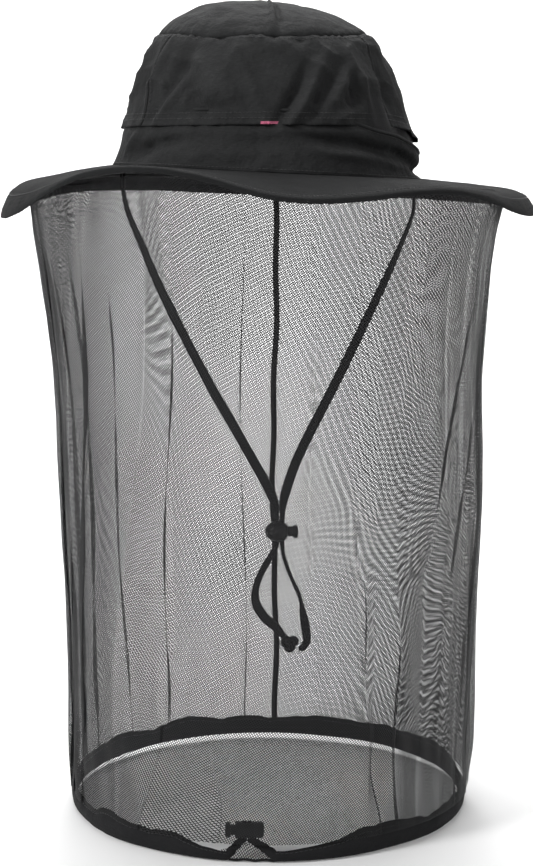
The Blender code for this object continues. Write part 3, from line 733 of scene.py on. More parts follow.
def make_crown(cloth):
    left, right = SEAM_TURNS
    panels = [
        cloth_grid(name, crown_side, turns, even_shares(44), cloth, CROWN_CLOTH, closed=False)
        for name, turns in (
            ("crown_front_cloth", turns_between(left, right, 110)),
            ("crown_back_cloth", turns_between(right, left + 2 * math.pi, 180)),
        )
    ]
    rings = [0.0005, *[(step / 30) ** 0.9 for step in range(1, 31)]]
    tip = cloth_grid("crown_tip_cloth", crown_top, whole_ring(220), rings, cloth, 0)
    merge_points(tip, 0.0003)
    thicken(tip, CROWN_CLOTH)
    return *panels, tip


crown_cloth = nylon_finish("crown_nylon", (0.026, 0.0265, 0.027), crease=2.0)
for piece, node in zip(
    make_crown(crown_cloth), ("crown_front_panel", "crown_back_panel", "crown_tip")
):
    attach(piece, "hat")
    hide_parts(node)

# ---- Lower crown wall, vent and sweatband ---------------------------------------------------
# A band of the same nylon under the flap. Its rolled top edge carries a vent of knitted mesh,
# and it slumps on the right, where the edge drops out from under the flap. A wicking sweatband
# is sewn inside it, and bias tape covers the crown's two seams.

head_seam_height = around_hat(
    ((-180, -0.0045), (-90, 0.0012), (-40, 0.0018), (0, -0.0007), (45, -0.0052), (90, -0.0095))
)
wall_top_height = around_hat(
    (
        (-180, 0.030), (-60, 0.036), (0, 0.037), (28, 0.033), (44, 0.0235), (57, 0.0200),
        (71, 0.0135), (90, 0.0070), (112, 0.0090), (140, 0.0220),
    )
)
wall_slump = around_hat(((0, 0), (30, 0), (50, 0.6), (75, 1), (95, 1), (120, 0.6), (150, 0)))

WALL_FOLDS = (
    (24, 0.0165, -10, 0.018, 0.0035, -0.0032),
    (44, 0.0125, -13, 0.020, 0.0035, -0.0036),
    (62, 0.0080, -16, 0.016, 0.0030, -0.0030),
    (30, 0.0095, -8, 0.024, 0.0040, 0.0016),
    (56, 0.0020, -10, 0.022, 0.0040, 0.0016),
    (78, -0.0035, -4, 0.014, 0.0022, -0.0026),
    (-52, 0.0115, 20, 0.010, 0.0045, -0.0034),
    (-40, 0.0165, 8, 0.012, 0.0035, -0.0020),
    (-62, 0.0160, 55, 0.009, 0.0035, 0.0016),
    (-20, 0.0090, 6, 0.022, 0.0060, 0.0010),
    (0, 0.0160, 0, 0.020, 0.0045, -0.0012),
    (-84, 0.0080, 80, 0.012, 0.0050, -0.0014),
    (130, 0.0080, 12, 0.026, 0.0050, -0.0030),
    (165, 0.0120, -14, 0.026, 0.0050, -0.0028),
    (-150, 0.0080, 10, 0.028, 0.0050, -0.0028),
    (-120, 0.0130, -12, 0.024, 0.0050, -0.0026),
)
WALL_FOOT = 0.1008
WALL_TUCK = 0.0918
WALL_CLEARANCE = 0.0038


def wall_place(turn, share, outward=0.0):
    """A point of the lower wall: share is 0 at its top edge and 1 at the head seam."""
    top, bottom = wall_top_height(turn), head_seam_height(turn)
    height = top + (bottom - top) * share
    flap = crown_radius(height + lean_at(turn))
    cover = min(1.0, max(0.0, (height - flap_hem_height(turn) + 0.004) / 0.006))
    tucked = WALL_TUCK + (flap - WALL_CLEARANCE - WALL_TUCK) * cover
    radius = tucked + (WALL_FOOT - tucked) * share**1.4
    out = 0.0970 + 0.0012 * math.sin(math.pi * min(1.0, share * 1.25))
    out -= 0.0034 * math.exp(-(((share - 0.62) / 0.16) ** 2))
    out += (WALL_FOOT - 0.0980) * share**6
    radius += (out - radius) * wall_slump(turn)
    place = on_hat(turn, radius, height)
    rise = fold_rise(WALL_FOLDS, turn, height, 0.095)
    rise += 0.0013 * crumple(place, 0.024, 1.7) + 0.0005 * crumple(place, 0.009, 9.3)
    rise *= math.sin(math.pi * min(1.0, max(0.0, share))) ** 0.5
    outward_axis = Vector((place.x, place.y, 0)).normalized()
    return place + outward_axis * (rise + outward)


def rolled_edge(name, place_at, count, thickness, material):
    """A round roll of cloth that follows a closed edge."""
    path = [place_at(turn) for turn in whole_ring(count)]
    around = 10
    points = []
    for index in range(count):
        ahead = (path[(index + 1) % count] - path[index - 1]).normalized()
        out = Vector((path[index].x, path[index].y, 0)).normalized()
        up = out.cross(ahead).normalized()
        out = ahead.cross(up)
        reach = thickness / 2 * (1 + 0.12 * noise.noise(path[index] / 0.006))
        for step in range(around):
            turn = 2 * math.pi * step / around
            points.append(path[index] + out * reach * math.cos(turn) + up * reach * math.sin(turn))
    pace = (path[1] - path[0]).length
    distances = [index * pace for index in range(count + 1)]
    faces, uvs = tube_faces(distances, around, 0.007, closed=True, lengthwise=True)
    return turn_outward(mesh_piece(name, points, faces, uvs, material))


def join_pieces(name, pieces):
    """One plain mesh from several, in the order given."""
    shape = bmesh.new()
    for piece in pieces:
        shape.from_mesh(piece.data)
    mesh = bpy.data.meshes.new(name)
    shape.to_mesh(mesh)
    shape.free()
    mesh.materials.append(pieces[0].data.materials[0])
    for piece in pieces:
        old = piece.data
        bpy.data.objects.remove(piece)
        bpy.data.meshes.remove(old)
    joined = bpy.data.objects.new(name, mesh)
    bpy.context.scene.collection.objects.link(joined)
    return joined


wall_band = cloth_grid(
    "lower_wall_cloth", wall_place, whole_ring(260), even_shares(34), crown_cloth, 0.0006
)
wall_roll = rolled_edge(
    "lower_wall_roll", lambda turn: wall_place(turn, 0, 0.0003), 260, 0.0022, crown_cloth
)
lower_wall = join_pieces("lower_crown_cloth", [wall_band, wall_roll])
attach(lower_wall, "hat")
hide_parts("lower_crown_wall")


def knit_finish(name, colour, pitch, cover, off_grain):
    """Knitted net: real diamond holes between two families of threads. cover is the share of
    the pitch that a thread takes, off_grain how far the net was cut from its own grain."""
    finish = Finish(name, colour, 0.70, sheen=0.04, specular=0.2)
    families = []
    for slope in (off_grain + math.pi / 4, off_grain - math.pi / 4):
        families.append(finish.stripes((math.sin(slope), math.cos(slope), 0), pitch))
    threads = finish.math("MAXIMUM", *families)
    edge = 0.5 + 0.5 * math.cos(math.pi * cover)
    finish.link(finish.math("GREATER_THAN", threads, edge), finish.shader.inputs["Alpha"])
    finish.bump(threads, pitch / 10, 0.6)
    finish.shade(finish.noise(26, 3), 0.85, 1.15)
    return finish.material


def vent_place(turn, share):
    top = Vector(crown_side(turn, 0.55))
    inward = Vector((top.x, top.y, 0)).normalized() * -0.0016
    bottom = wall_place(turn, 0.05)
    foot = Vector((bottom.x, bottom.y, 0)).normalized() * -0.0012
    return (top + inward) * (1 - share) + (bottom + foot) * share


vent_knit = knit_finish("vent_knit", (0.016, 0.016, 0.017), 0.0012, 0.30, 0.0)
vent = cloth_grid("vent_net", vent_place, whole_ring(160), even_shares(8), vent_knit, 0.0003)
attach(vent, "hat")
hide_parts("crown_vent_mesh")


def brushed_finish(name, colour, rib):
    """Brushed jersey with faint ribs."""
    finish = Finish(name, colour, 0.92, sheen=0.12, specular=0.2)
    ribs = finish.stripes((1, 0, 0), rib)
    fuzz = finish.noise(1500, 3)
    finish.bump(ribs, 0.00018)
    finish.bump(fuzz, 0.00015, 0.8)
    finish.shade(fuzz, 0.75, 1.25)
    finish.shade(finish.noise(60, 3), 0.85, 1.15)
    return finish.material


def sweatband_place(turn, share):
    bottom = on_hat(turn, 0.0950, head_seam_height(turn) + 0.001)
    wall = wall_place(turn, 0.25)
    top_height = max(0.0215 - LEAN * bottom.x, head_seam_height(turn) + 0.012)
    top_radius = min(0.0885, Vector((wall.x, wall.y, 0)).length - 0.0035)
    top = on_hat(turn, top_radius - 0.001, top_height)
    place = top * (1 - share) + bottom * share
    swell = 0.0008 * math.sin(math.pi * share) + 0.0006 * crumple(place, 0.02, 4.4)
    return place - Vector((place.x, place.y, 0)).normalized() * swell


sweatband_cloth = brushed_finish("sweatband_jersey", (0.015, 0.015, 0.017), 0.0011)
sweatband = cloth_grid(
    "sweatband_cloth", sweatband_place, whole_ring(200), even_shares(12), sweatband_cloth, 0.0014
)
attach(sweatband, "hat")
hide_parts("sweatband")


def tape_finish(name, colour, rib=0.0009, roughness=0.78):
    """Ribbed woven tape: ribs run across it, with a fine slub."""
    finish = Finish(name, colour, roughness, sheen=0.05, specular=0.2)
    ribs = finish.stripes((1, 0, 0), rib)
    fine = finish.stripes((0, 1, 0), rib * 0.45)
    weave = finish.math("MULTIPLY", ribs, fine)
    finish.bump(weave, 0.00016)
    finish.bump(finish.noise(160, 3), 0.0006, 0.5)
    finish.shade(weave, 0.78, 1.15)
    finish.shade(finish.noise(70, 3), 0.82, 1.18)
    finish.rough(finish.noise(300, 2), roughness - 0.1, roughness + 0.1)
    return finish.material


def seam_tape_place(turn, share):
    return crown_side(turn, 0.03 + 0.42 * share, -0.0018)


bias_tape = tape_finish("bias_tape", (0.014, 0.014, 0.015))
tape_half_turn = 0.004 / 0.09
for side, seam in zip(("left", "right"), SEAM_TURNS):
    turns = turns_between(seam - tape_half_turn, seam + tape_half_turn, 10)
    tape = cloth_grid(
        f"seam_tape_{side}", seam_tape_place, turns, even_shares(20), bias_tape, 0.0005,
        closed=False,
    )
    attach(tape, "hat")
    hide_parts(f"crown_seam_tape_{side}")

# ---- Woven tab ------------------------------------------------------------------------------
# A short, plain pink ribbon of woven satin. It is folded over the flap's hem, a little off the
# middle, and caught in the hem's stitches.

HEM_RADIUS = 0.094
TAB_MIDDLE = 0.0011 / HEM_RADIUS
TAB_HALF = 0.0112 / 2 / HEM_RADIUS


def tab_place(turn, share):
    """Down the outside of the hem, round its edge, and up behind it."""
    edge = 0.966 + 0.040 * share if share < 0.8 else 0.998 - 0.02 * (share - 0.8)
    lift = 0.0009 + 0.00012 * crumple(Vector((turn * 0.09, share * 0.01, 0)), 0.003)
    return crown_side(turn, edge, lift if share < 0.8 else lift - 0.011 * (share - 0.8))


def ribbon_finish():
    finish = Finish("pink_ribbon", (0.56, 0.115, 0.215), 0.55, sheen=0.15)
    satin = finish.stripes((0, 1, 0), 0.00042)
    edge = finish.stripes((1, 0, 0), 0.0016)
    finish.bump(satin, 0.00012)
    finish.shade(satin, 0.72, 1.12)
    finish.shade(edge, 0.88, 1.06)
    finish.shade(finish.noise(500, 3), 0.75, 1.2)
    return finish.material


tab_turns = turns_between(TAB_MIDDLE - TAB_HALF, TAB_MIDDLE + TAB_HALF, 24)
tab = cloth_grid(
    "pink_tab", tab_place, tab_turns, even_shares(16), ribbon_finish(), 0.0003, closed=False
)
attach(tab, "hat")
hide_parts("woven_tab")

# ---- Brim -----------------------------------------------------------------------------------
# Two plies of nylon over felt, bound at the edge. It lies flat in front, and the stiff rim
# curls down at both sides and lifts on the left in front.

BRIM_INNER = 0.0965
BRIM_OUTER = 0.1718
BRIM_PLY = 0.0005
FELT_BELOW = 0.0007
FELT_THICKNESS = 0.0006
UNDER_PLY_BELOW = 0.0015
brim_edge_height = around_hat(
    (
        (-180, -0.0235), (-150, -0.0185), (-130, -0.0170), (-110, -0.0230), (-90, -0.0265),
        (-72, -0.0265), (-60, -0.0215), (-50, -0.0110), (-40, -0.0005), (-29, 0.0042),
        (-20, 0.0030), (-12, -0.0010), (-4, -0.0090), (3, -0.0130), (12, -0.0145),
        (28, -0.0106), (40, -0.0100), (50, -0.0155), (60, -0.0230), (72, -0.0262),
        (90, -0.0255), (120, -0.0245), (150, -0.0240),
    )
)
brim_curl = around_hat(((-180, 1.6), (-90, 1.2), (-45, 2.2), (0, 1.2), (45, 2.0), (90, 1.0)))
brim_lip = around_hat(
    (
        (-180, -0.0040), (-120, -0.0070), (-90, -0.0145), (-68, -0.0120), (-45, -0.0020),
        (0, 0.0), (45, -0.0020), (68, -0.0090), (90, -0.0100), (120, -0.0060),
    )
)
LIP_SHARPNESS = 14


def brim_place(turn, radius, below=0.0):
    share = max(0.0, (radius - BRIM_INNER) / (BRIM_OUTER - BRIM_INNER))
    seam, edge = head_seam_height(turn), brim_edge_height(turn)
    lip = brim_lip(turn)
    height = seam + (edge - lip - seam) * share ** brim_curl(turn) + lip * share**LIP_SHARPNESS
    place = on_hat(turn, radius, height)
    loose = min(1.0, share * 2) * (1 - 0.5 * share)
    height += loose * (0.0012 * crumple(place, 0.045, 2.2) + 0.0004 * crumple(place, 0.012, 6.1))
    return on_hat(turn, radius, height - below)


def brim_layer(name, inner, outer, below, thickness, material, columns=260, rows=22):
    def place(turn, share):
        return brim_place(turn, inner + (outer - inner) * share, below)

    return cloth_grid(name, place, whole_ring(columns), even_shares(rows), material, thickness)


def felt_finish():
    finish = Finish("brim_felt", (0.060, 0.060, 0.062), 0.95)
    fibres = finish.noise(900, 4)
    finish.bump(fibres, 0.0004, 0.8)
    finish.shade(fibres, 0.6, 1.3)
    return finish.material


brim_cloth = nylon_finish(
    "brim_nylon", (0.016, 0.0164, 0.0168), weave=0.0006, crease=0.5, shine=0.03
)
top_ply = brim_layer("brim_top_cloth", BRIM_INNER, BRIM_OUTER, 0.0, BRIM_PLY, brim_cloth)
felt = brim_layer(
    "brim_felt", BRIM_INNER, BRIM_OUTER - 0.001, FELT_BELOW, FELT_THICKNESS, felt_finish(),
    columns=180, rows=12,
)
under_ply = brim_layer(
    "brim_under_cloth", BRIM_INNER, BRIM_OUTER, UNDER_PLY_BELOW, BRIM_PLY, brim_cloth
)
for piece, node, slot in (
    (top_ply, "brim_top_ply", "brim_fabric"),
    (felt, "brim_stiffener", "foam"),
    (under_ply, "brim_under_ply", "brim_fabric"),
):
    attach(piece, "hat")
    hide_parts(node)

BINDING_SECTION = (
    (-0.0062, -0.0004), (-0.0030, -0.0006), (0.0002, -0.0006), (0.0010, 0.0000),
    (0.0012, 0.0010), (0.0010, 0.0021), (0.0002, 0.0027), (-0.0030, 0.0026), (-0.0062, 0.0024),
    (-0.0060, 0.0019), (-0.0002, 0.0020), (-0.0002, 0.0000), (-0.0060, 0.0001),
)


def make_binding(material):
    """Bias tape folded round the brim's edge."""
    count = 360
    points = []
    for turn in whole_ring(count):
        swell = 1 + 0.10 * math.sin(turn * 190)
        for reach, below in BINDING_SECTION:
            points.append(brim_place(turn, BRIM_OUTER + reach, below * swell))
    around = len(BINDING_SECTION)
    distances = [2 * math.pi * BRIM_OUTER * index / count for index in range(count + 1)]
    faces, uvs = tube_faces(distances, around, 0.0015 * around, closed=True, lengthwise=True)
    return turn_outward(mesh_piece("brim_binding", points, faces, uvs, material))


binding = make_binding(brim_cloth)
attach(binding, "hat")
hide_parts("brim_edge_binding")


def make_anchor(name, side):
    """A loop of tape that is sewn into the head seam and holds one end of the chin strap."""
    x = side * STRAP_RIGHT_ROUTE[0][0]
    apart = side * 0.0010
    top = head_seam_height(side * math.pi / 2) - 0.001
    route = [Vector((x - apart, 0, top))]
    for bend in np.linspace(0, math.pi, 9):
        height = SWING_HEIGHT + 0.001 - 0.0012 * math.sin(bend)
        route.append(Vector((x - apart * math.cos(bend), 0, height)))
    route.append(Vector((x + apart, 0, top)))
    return swept_cord(name, route, lambda share: (0.0058, 0.00055, math.pi / 2), bias_tape)


for side, sign in (("left", -1), ("right", 1)):
    anchor = make_anchor(f"tape_anchor_{side}", sign)
    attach(anchor, "hat")
    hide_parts(f"strap_anchor_{side}")

# ---- Net ------------------------------------------------------------------------------------
# Fine knitted net, one length joined by an upright seam at the back, sewn flat to a tape under
# the brim. It hangs in soft waves, is bunched at both sides, and creases where it was packed.

NET_TOP_RADIUS = 0.150
NET_FOOT = -0.4125
BACK_SEAM_TURN = math.radians(178)
NET_THREAD = 0.00022
NET_PITCH = 0.00128
NET_COVER = 0.286
NET_OFF_GRAIN = math.radians(11)

# Creases: where each starts (degrees from the front, height) and ends, width, how far it folds
# over itself, in widths, and how early it swings to its end
NET_CREASES = (
    ((-173, -0.030), (-172, -0.412), 0.0022, 0.80, 1.0),
    ((-150, -0.060), (-146, -0.412), 0.0024, 0.85, 1.0),
    ((-127, -0.040), (-132, -0.412), 0.0026, 0.85, 1.0),
    ((-114, -0.030), (-117, -0.412), 0.0036, 0.90, 1.0),
    ((-104, -0.022), (-108, -0.412), 0.0040, 1.00, 1.0),
    ((-95, -0.018), (-99, -0.412), 0.0052, 1.25, 1.0),
    ((-84, -0.018), (-90, -0.412), 0.0052, 1.25, 1.0),
    ((-72, -0.022), (-82, -0.412), 0.0044, 1.15, 1.0),
    ((-57, -0.030), (-76, -0.412), 0.0028, 1.05, 0.7),
    ((-43, -0.010), (-68, -0.412), 0.0098, 1.22, 0.55),
    ((-29, -0.055), (-46, -0.330), 0.0026, 1.00, 1.0),
    ((-24, -0.290), (-37, -0.412), 0.0016, 0.85, 1.0),
    ((-15, -0.330), (-13, -0.412), 0.0022, 0.70, 1.0),
    ((22, -0.200), (28, -0.340), 0.0017, 0.85, 1.0),
    ((27, -0.335), (31, -0.412), 0.0016, 0.90, 1.0),
    ((35, -0.255), (37, -0.412), 0.0020, 0.95, 1.0),
    ((67, -0.035), (43, -0.250), 0.0032, 1.10, 1.3),
    ((73, -0.110), (53, -0.300), 0.0040, 1.12, 1.0),
    ((79, -0.160), (64, -0.412), 0.0028, 1.00, 1.0),
    ((85, -0.024), (76, -0.412), 0.0046, 1.15, 1.0),
    ((92, -0.020), (87, -0.412), 0.0050, 1.25, 1.0),
    ((100, -0.022), (97, -0.412), 0.0040, 1.00, 1.0),
    ((108, -0.030), (106, -0.412), 0.0036, 0.85, 1.0),
    ((118, -0.050), (116, -0.412), 0.0032, 0.95, 1.0),
    ((131, -0.060), (134, -0.412), 0.0024, 0.85, 1.0),
    ((152, -0.200), (150, -0.412), 0.0022, 0.80, 1.0),
    ((167, -0.080), (166, -0.330), 0.0022, 0.75, 1.0),
)


def net_top_height(turn):
    return brim_place(turn, NET_TOP_RADIUS).z - 0.0028


class Crease:
    """A fold that laps over itself along a slanting line down the net."""

    def __init__(self, start, end, width, lap, swing):
        self.start = math.radians(start[0]), start[1]
        self.end = math.radians(end[0]), end[1]
        self.middle = (self.start[0] + self.end[0]) / 2
        self.width = width
        self.lap = lap
        self.swing = swing

    def turn_at(self, height):
        share = (height - self.start[1]) / (self.end[1] - self.start[1])
        share = min(1.0, max(0.0, share))
        bow = 0.02 * math.sin(7 * share + 40 * self.middle)
        return self.start[0] + (self.end[0] - self.start[0]) * share**self.swing + bow

    def strength(self, height):
        fade_in = smooth_step((self.start[1] - height) / 0.075)
        fade_out = 1.0 if self.end[1] < -0.40 else smooth_step((height - self.end[1]) / 0.06)
        beat = 0.86 + 0.14 * math.sin(height * 55 + 30 * self.middle)
        return fade_in * fade_out * beat


creases = [Crease(*values) for values in NET_CREASES]


def net_columns():
    """Where the net's columns are: closer together across each crease."""
    start = BACK_SEAM_TURN - 2 * math.pi
    places = set(np.linspace(start, BACK_SEAM_TURN, 262).tolist())
    for crease in creases:
        for step in np.linspace(-1.9, 1.9, 12):
            places.add(crease.middle + step * crease.width / 0.138)
    places = sorted(place for place in places if start <= place <= BACK_SEAM_TURN)
    kept = [places[0]]
    for place in places[1:]:
        if place - kept[-1] > 0.0022:
            kept.append(place)
    kept[-1] = BACK_SEAM_TURN
    return kept


NET_OUTLINE_LEFT = (
    (-0.410, 0.1330), (-0.350, 0.1338), (-0.282, 0.1352), (-0.214, 0.1368), (-0.164, 0.1378),
    (-0.130, 0.1394), (-0.097, 0.1426), (-0.064, 0.1473), (-0.040, 0.1515), (-0.015, 0.1545),
)
NET_OUTLINE_RIGHT = (
    (-0.410, 0.1350), (-0.350, 0.1366), (-0.282, 0.1384), (-0.231, 0.1404), (-0.180, 0.1414),
    (-0.130, 0.1414), (-0.097, 0.1428), (-0.064, 0.1450), (-0.040, 0.1485), (-0.015, 0.1535),
)


def net_smooth_radius(place, height):
    """The net's radius without its creases, from its outlines at the hat's left and right."""
    left = np.interp(height, *zip(*NET_OUTLINE_LEFT))
    right = np.interp(height, *zip(*NET_OUTLINE_RIGHT))
    return left + (right - left) * (0.5 + 0.5 * math.sin(place))


def net_place(turn, share, inward=0.0):
    """A point of the net: turn is its column at mid height, share is 0 at the brim and 1 at
    the hem."""
    top = net_top_height(turn)
    height = top + (NET_FOOT - top) * share
    guides = [(BACK_SEAM_TURN - 2 * math.pi,) * 2]
    guides += [(crease.middle, crease.turn_at(height)) for crease in creases]
    guides.append((BACK_SEAM_TURN,) * 2)
    place = float(np.interp(turn, [guide[0] for guide in guides], [guide[1] for guide in guides]))
    radius = net_smooth_radius(place, height)
    around, lift = 0.0, 0.0
    for crease in creases:
        offset = (turn - crease.middle) * radius / crease.width
        if abs(offset) < 3.2:
            strength = crease.strength(height)
            wave = 2.33 * offset * math.exp(-offset * offset)
            around -= crease.lap * crease.width * wave * strength
            lift -= (0.0005 + 0.10 * crease.width) * wave * strength
            lift -= 0.16 * crease.width * math.exp(-((offset / 1.6) ** 2)) * strength
    here = Vector((math.sin(place), -math.cos(place), 0))
    loose = smooth_step(share / 0.10) * (1 - 0.8 * smooth_step((share - 0.93) / 0.07))
    wave_place = here * 1.5 + Vector((0, 0, height / 0.12))
    lift += 0.0026 * noise.noise(wave_place) * loose
    at_side = math.exp(-(((abs(place) - math.pi / 2) / 0.42) ** 2))
    pleat_place = Vector((place * 16 + 3 * math.sin(place), height / 0.16, 4.4))
    lift += 0.0040 * at_side * noise.noise(pleat_place) * loose
    slant = Vector((place * 14 + height / 0.050, height / 0.12 - place * 3, 1.2))
    lift += 0.0007 * noise.noise(slant) * loose * (0.35 + 0.65 * share)
    low = smooth_step((share - 0.80) / 0.16)
    lift += 0.0022 * low * noise.noise(Vector((place * 13, height / 0.05, 8.1))) * loose
    gather = 0.0009 * math.sin(place * 96 + 4 * math.sin(place * 5)) * (0.4 + at_side)
    lift += gather * math.exp(-((share / 0.05) ** 2)) * smooth_step(share / 0.008)
    place += around / radius
    depth = HAT_DEPTH_EXTRA * (1 - share) ** 2
    return on_hat(place, radius + lift - inward, height, depth)


def net_rows():
    rows = [0.0, 0.006, 0.014, 0.026, 0.04]
    rows += np.linspace(0.055, 0.94, 62).tolist()
    return rows + [0.955, 0.97, 0.983, 0.992, 1.0]


net_knit = knit_finish("net_knit", (0.020, 0.020, 0.021), NET_PITCH, NET_COVER, NET_OFF_GRAIN)
net = cloth_grid(
    "hanging_net", net_place, net_columns(), net_rows(), net_knit, NET_THREAD, closed=False
)
merge_points(net, 0.00004)
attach(net, "hat")
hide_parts("veil_net")

NET_TAPE_INNER = 0.1458
NET_TAPE_OUTER = 0.1542
net_tape = brim_layer(
    "net_tape", NET_TAPE_INNER, NET_TAPE_OUTER, 0.0021, 0.0006, bias_tape, columns=220, rows=3
)
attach(net_tape, "hat")
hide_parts("net_top_tape")

SEAM_TAPE_HALF = 0.0021


def back_seam_place(offset, share):
    """A point of the seam's tape: offset runs across it, in metres."""
    at = net_place(BACK_SEAM_TURN, 0.004 + 0.992 * share, 0.0010)
    sway = 0.0012 * math.sin(share * 9) + 0.0006 * math.sin(share * 31)
    return at + Vector((offset + sway, 0.0004 * math.cos(offset * 900), 0))


back_seam = cloth_grid(
    "back_seam_binding",
    back_seam_place,
    [SEAM_TAPE_HALF * (1 - step / 3) for step in range(7)],
    even_shares(120),
    bias_tape,
    0.0006,
    closed=False,
)
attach(back_seam, "hat")
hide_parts("back_seam_tape")

for piece in (net, back_seam):
    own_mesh(piece)

# ---- Hem ------------------------------------------------------------------------------------
# The net's hem is a casing of dark cloth, turned up and stitched, with a drawcord in it. It is
# cut open in front, where both ends are gathered up to the cord lock. Below them a light strip
# of net closes the ring.

CASING_HEIGHT = 0.0145
CASING_THICKNESS = 0.0048
CASING_RADIUS = 0.1316
CASING_ENDS = (math.radians(2.4), math.radians(360 - 11.6))
BACK_RISE = 0.0026
HEM_LOCK_BEHIND_SLOT = 0.0105
hem_lock_low, hem_lock_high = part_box("hem_lock_body")
hem_lock_middle = (hem_lock_low + hem_lock_high) / 2
hem_slot = Vector((hem_lock_high.x - HEM_LOCK_BEHIND_SLOT, hem_lock_middle.y, hem_lock_low.z))


def casing_place(share):
    """Middle and half sizes of the casing: from the lock's right, round the back, to its left."""
    start, end = CASING_ENDS
    turn = start + (end - start) * share
    place = on_hat(turn, CASING_RADIUS, 0, 0)
    wander = noise.noise(Vector((math.sin(turn) * 2.6, math.cos(turn) * 2.6, 3.3)))
    place += place.normalized() * 0.0020 * wander
    spread = noise.noise(Vector((place.x, place.y, 0.015)) / 0.030)
    fine = noise.noise(Vector((place.x, place.y, 0.022)) / 0.009)
    height = CASING_HEIGHT / 2 * (1 + 0.34 * spread + 0.16 * fine)
    thick = CASING_THICKNESS / 2 * (1 + 0.14 * fine)
    gathered = smooth_step(min(turn - start, end - turn) / math.radians(26))
    height *= 0.42 + 0.58 * gathered
    raised = BACK_RISE * smooth_step((-math.cos(turn) + 0.2) / 1.2)
    place.z = FLOOR_HEIGHT + 0.0009 + height + raised
    return place, (thick, height)


def make_casing_route():
    """Points and sizes along the casing: the ring, and a gathered lead at each end."""
    ring, sizes = zip(*[casing_place(share) for share in even_shares(320)])
    first, last = ring[0], ring[-1]
    lead_right = smooth_route(
        [
            hem_slot + Vector((0.0014, 0, 0.0002)),
            hem_slot + Vector((0.0036, -0.0008, -0.0016)),
            hem_slot.lerp(first, 0.62) + Vector((0, 0, 0.0004)),
            first + (first - ring[1]).normalized() * 0.0010,
        ],
        0.0016,
    )
    lead_left = smooth_route(
        [
            last + (last - ring[-2]).normalized() * 0.0010,
            hem_slot.lerp(last, 0.62) + Vector((0, 0, 0.0004)),
            hem_slot + Vector((-0.0036, -0.0008, -0.0016)),
            hem_slot + Vector((-0.0014, 0, 0.0002)),
        ],
        0.0016,
    )
    narrow = (0.0018, 0.0022)
    right_sizes = lead_sizes(len(lead_right), narrow, sizes[0])
    left_sizes = lead_sizes(len(lead_left), narrow, sizes[-1])[::-1]
    return [*lead_right, *ring, *lead_left], [*right_sizes, *sizes, *left_sizes]


def lead_sizes(count, narrow, wide):
    sizes = []
    for step in range(count):
        share = step / count
        ruck = 1 + 0.10 * math.sin(step * 1.9)
        sizes.append(tuple((a + (b - a) * share**0.8) * ruck for a, b in zip(narrow, wide)))
    return sizes


def lobed_tube(name, path, sizes, material):
    """A flattened tube of cloth with a sewn fin along its top."""
    around = 20
    points = []
    walked = distances_along(path)
    for index, (place, (thick, height)) in enumerate(zip(path, sizes)):
        ahead = neighbours(path, index).normalized()
        out = Vector((place.x, place.y, 0)).normalized()
        out = (out - ahead * out.dot(ahead)).normalized()
        up = ahead.cross(out)
        up = up if up.z > 0 or abs(up.z) < 0.3 else -up
        for step in range(around):
            turn = 2 * math.pi * step / around
            x, z = math.cos(turn), math.sin(turn)
            squeeze = 1 - 0.62 * smooth_step((z - 0.30) / 0.5)
            ruck = 0.00025 * math.sin(walked[index] * 2100 + 3 * math.sin(turn)) * max(0.2, z)
            points.append(place + out * (thick * x * squeeze + ruck) + up * height * z)
    faces, uvs = tube_faces(walked, around, 0.04, capped=True, lengthwise=True)
    return turn_outward(mesh_piece(name, points, faces, uvs, material))


hem_cloth = nylon_finish("hem_cloth", (0.017, 0.017, 0.018), weave=0.0005, crease=0.6)
casing = lobed_tube("hem_casing_cloth", *make_casing_route(), hem_cloth)
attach(casing, "hem")
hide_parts("hem_casing")

GAP_START, GAP_END = math.radians(-13), math.radians(4)
GAP_RADIUS = 0.1308


def gap_net_place(turn, share):
    bow = 0.0005 * math.sin(turn * 60)
    away = abs(turn - math.atan2(hem_slot.x, -hem_slot.y)) / math.radians(8)
    top = hem_slot.z - 0.0010 - 0.0060 * min(1.0, away)
    foot = FLOOR_HEIGHT + 0.0016
    return on_hat(turn, GAP_RADIUS + bow, top + (foot - top) * share, 0)


gap_net = cloth_grid(
    "hem_gap_net", gap_net_place, turns_between(GAP_START, GAP_END, 40), even_shares(8),
    net_knit, NET_THREAD, closed=False,
)
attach(gap_net, "hem")


def gap_edge_point(share):
    turn = GAP_START + (GAP_END - GAP_START) * share
    height = FLOOR_HEIGHT + 0.0015 + 0.0003 * math.sin(share * 20)
    return on_hat(turn, GAP_RADIUS + 0.0004, height, 0)


gap_edge = swept_cord(
    "hem_gap_edge",
    [gap_edge_point(share) for share in even_shares(60)],
    lambda share: (0.0007, 0.0009, 0.0),
    hem_cloth,
)
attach(gap_edge, "hem")

DRAWCORD_WIDTH = 0.003
STRAND_HALF_GAP = 0.00165
STRAND_RISE = 0.0108


def make_drawcord():
    """Round braided cord: out of the casing, up through the lock, and back in."""
    ring = [casing_place(share)[0] for share in even_shares(200)]
    rise = Vector((0, 0, STRAND_RISE))
    right, left = (hem_slot + Vector((side * STRAND_HALF_GAP, 0, 0)) for side in (1, -1))
    route = [right + rise, right, *ring, left, left + rise]
    radius = DRAWCORD_WIDTH / 2 * 0.9
    return swept_cord(
        "hem_cord", smooth_route(route, 0.0025), lambda share: (radius, radius, 0.0), lace_cloth
    )


drawcord = make_drawcord()
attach(drawcord, "hem")
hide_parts("hem_drawcord")

# ---- Cord locks -----------------------------------------------------------------------------
# Two sprung stoppers of black moulded plastic. Each has a hollow body with a slot for two cords,
# a plunger with a window that grips them, and a coil spring of steel. The chin lock is a ball,
# the hem lock a ribbed barrel.


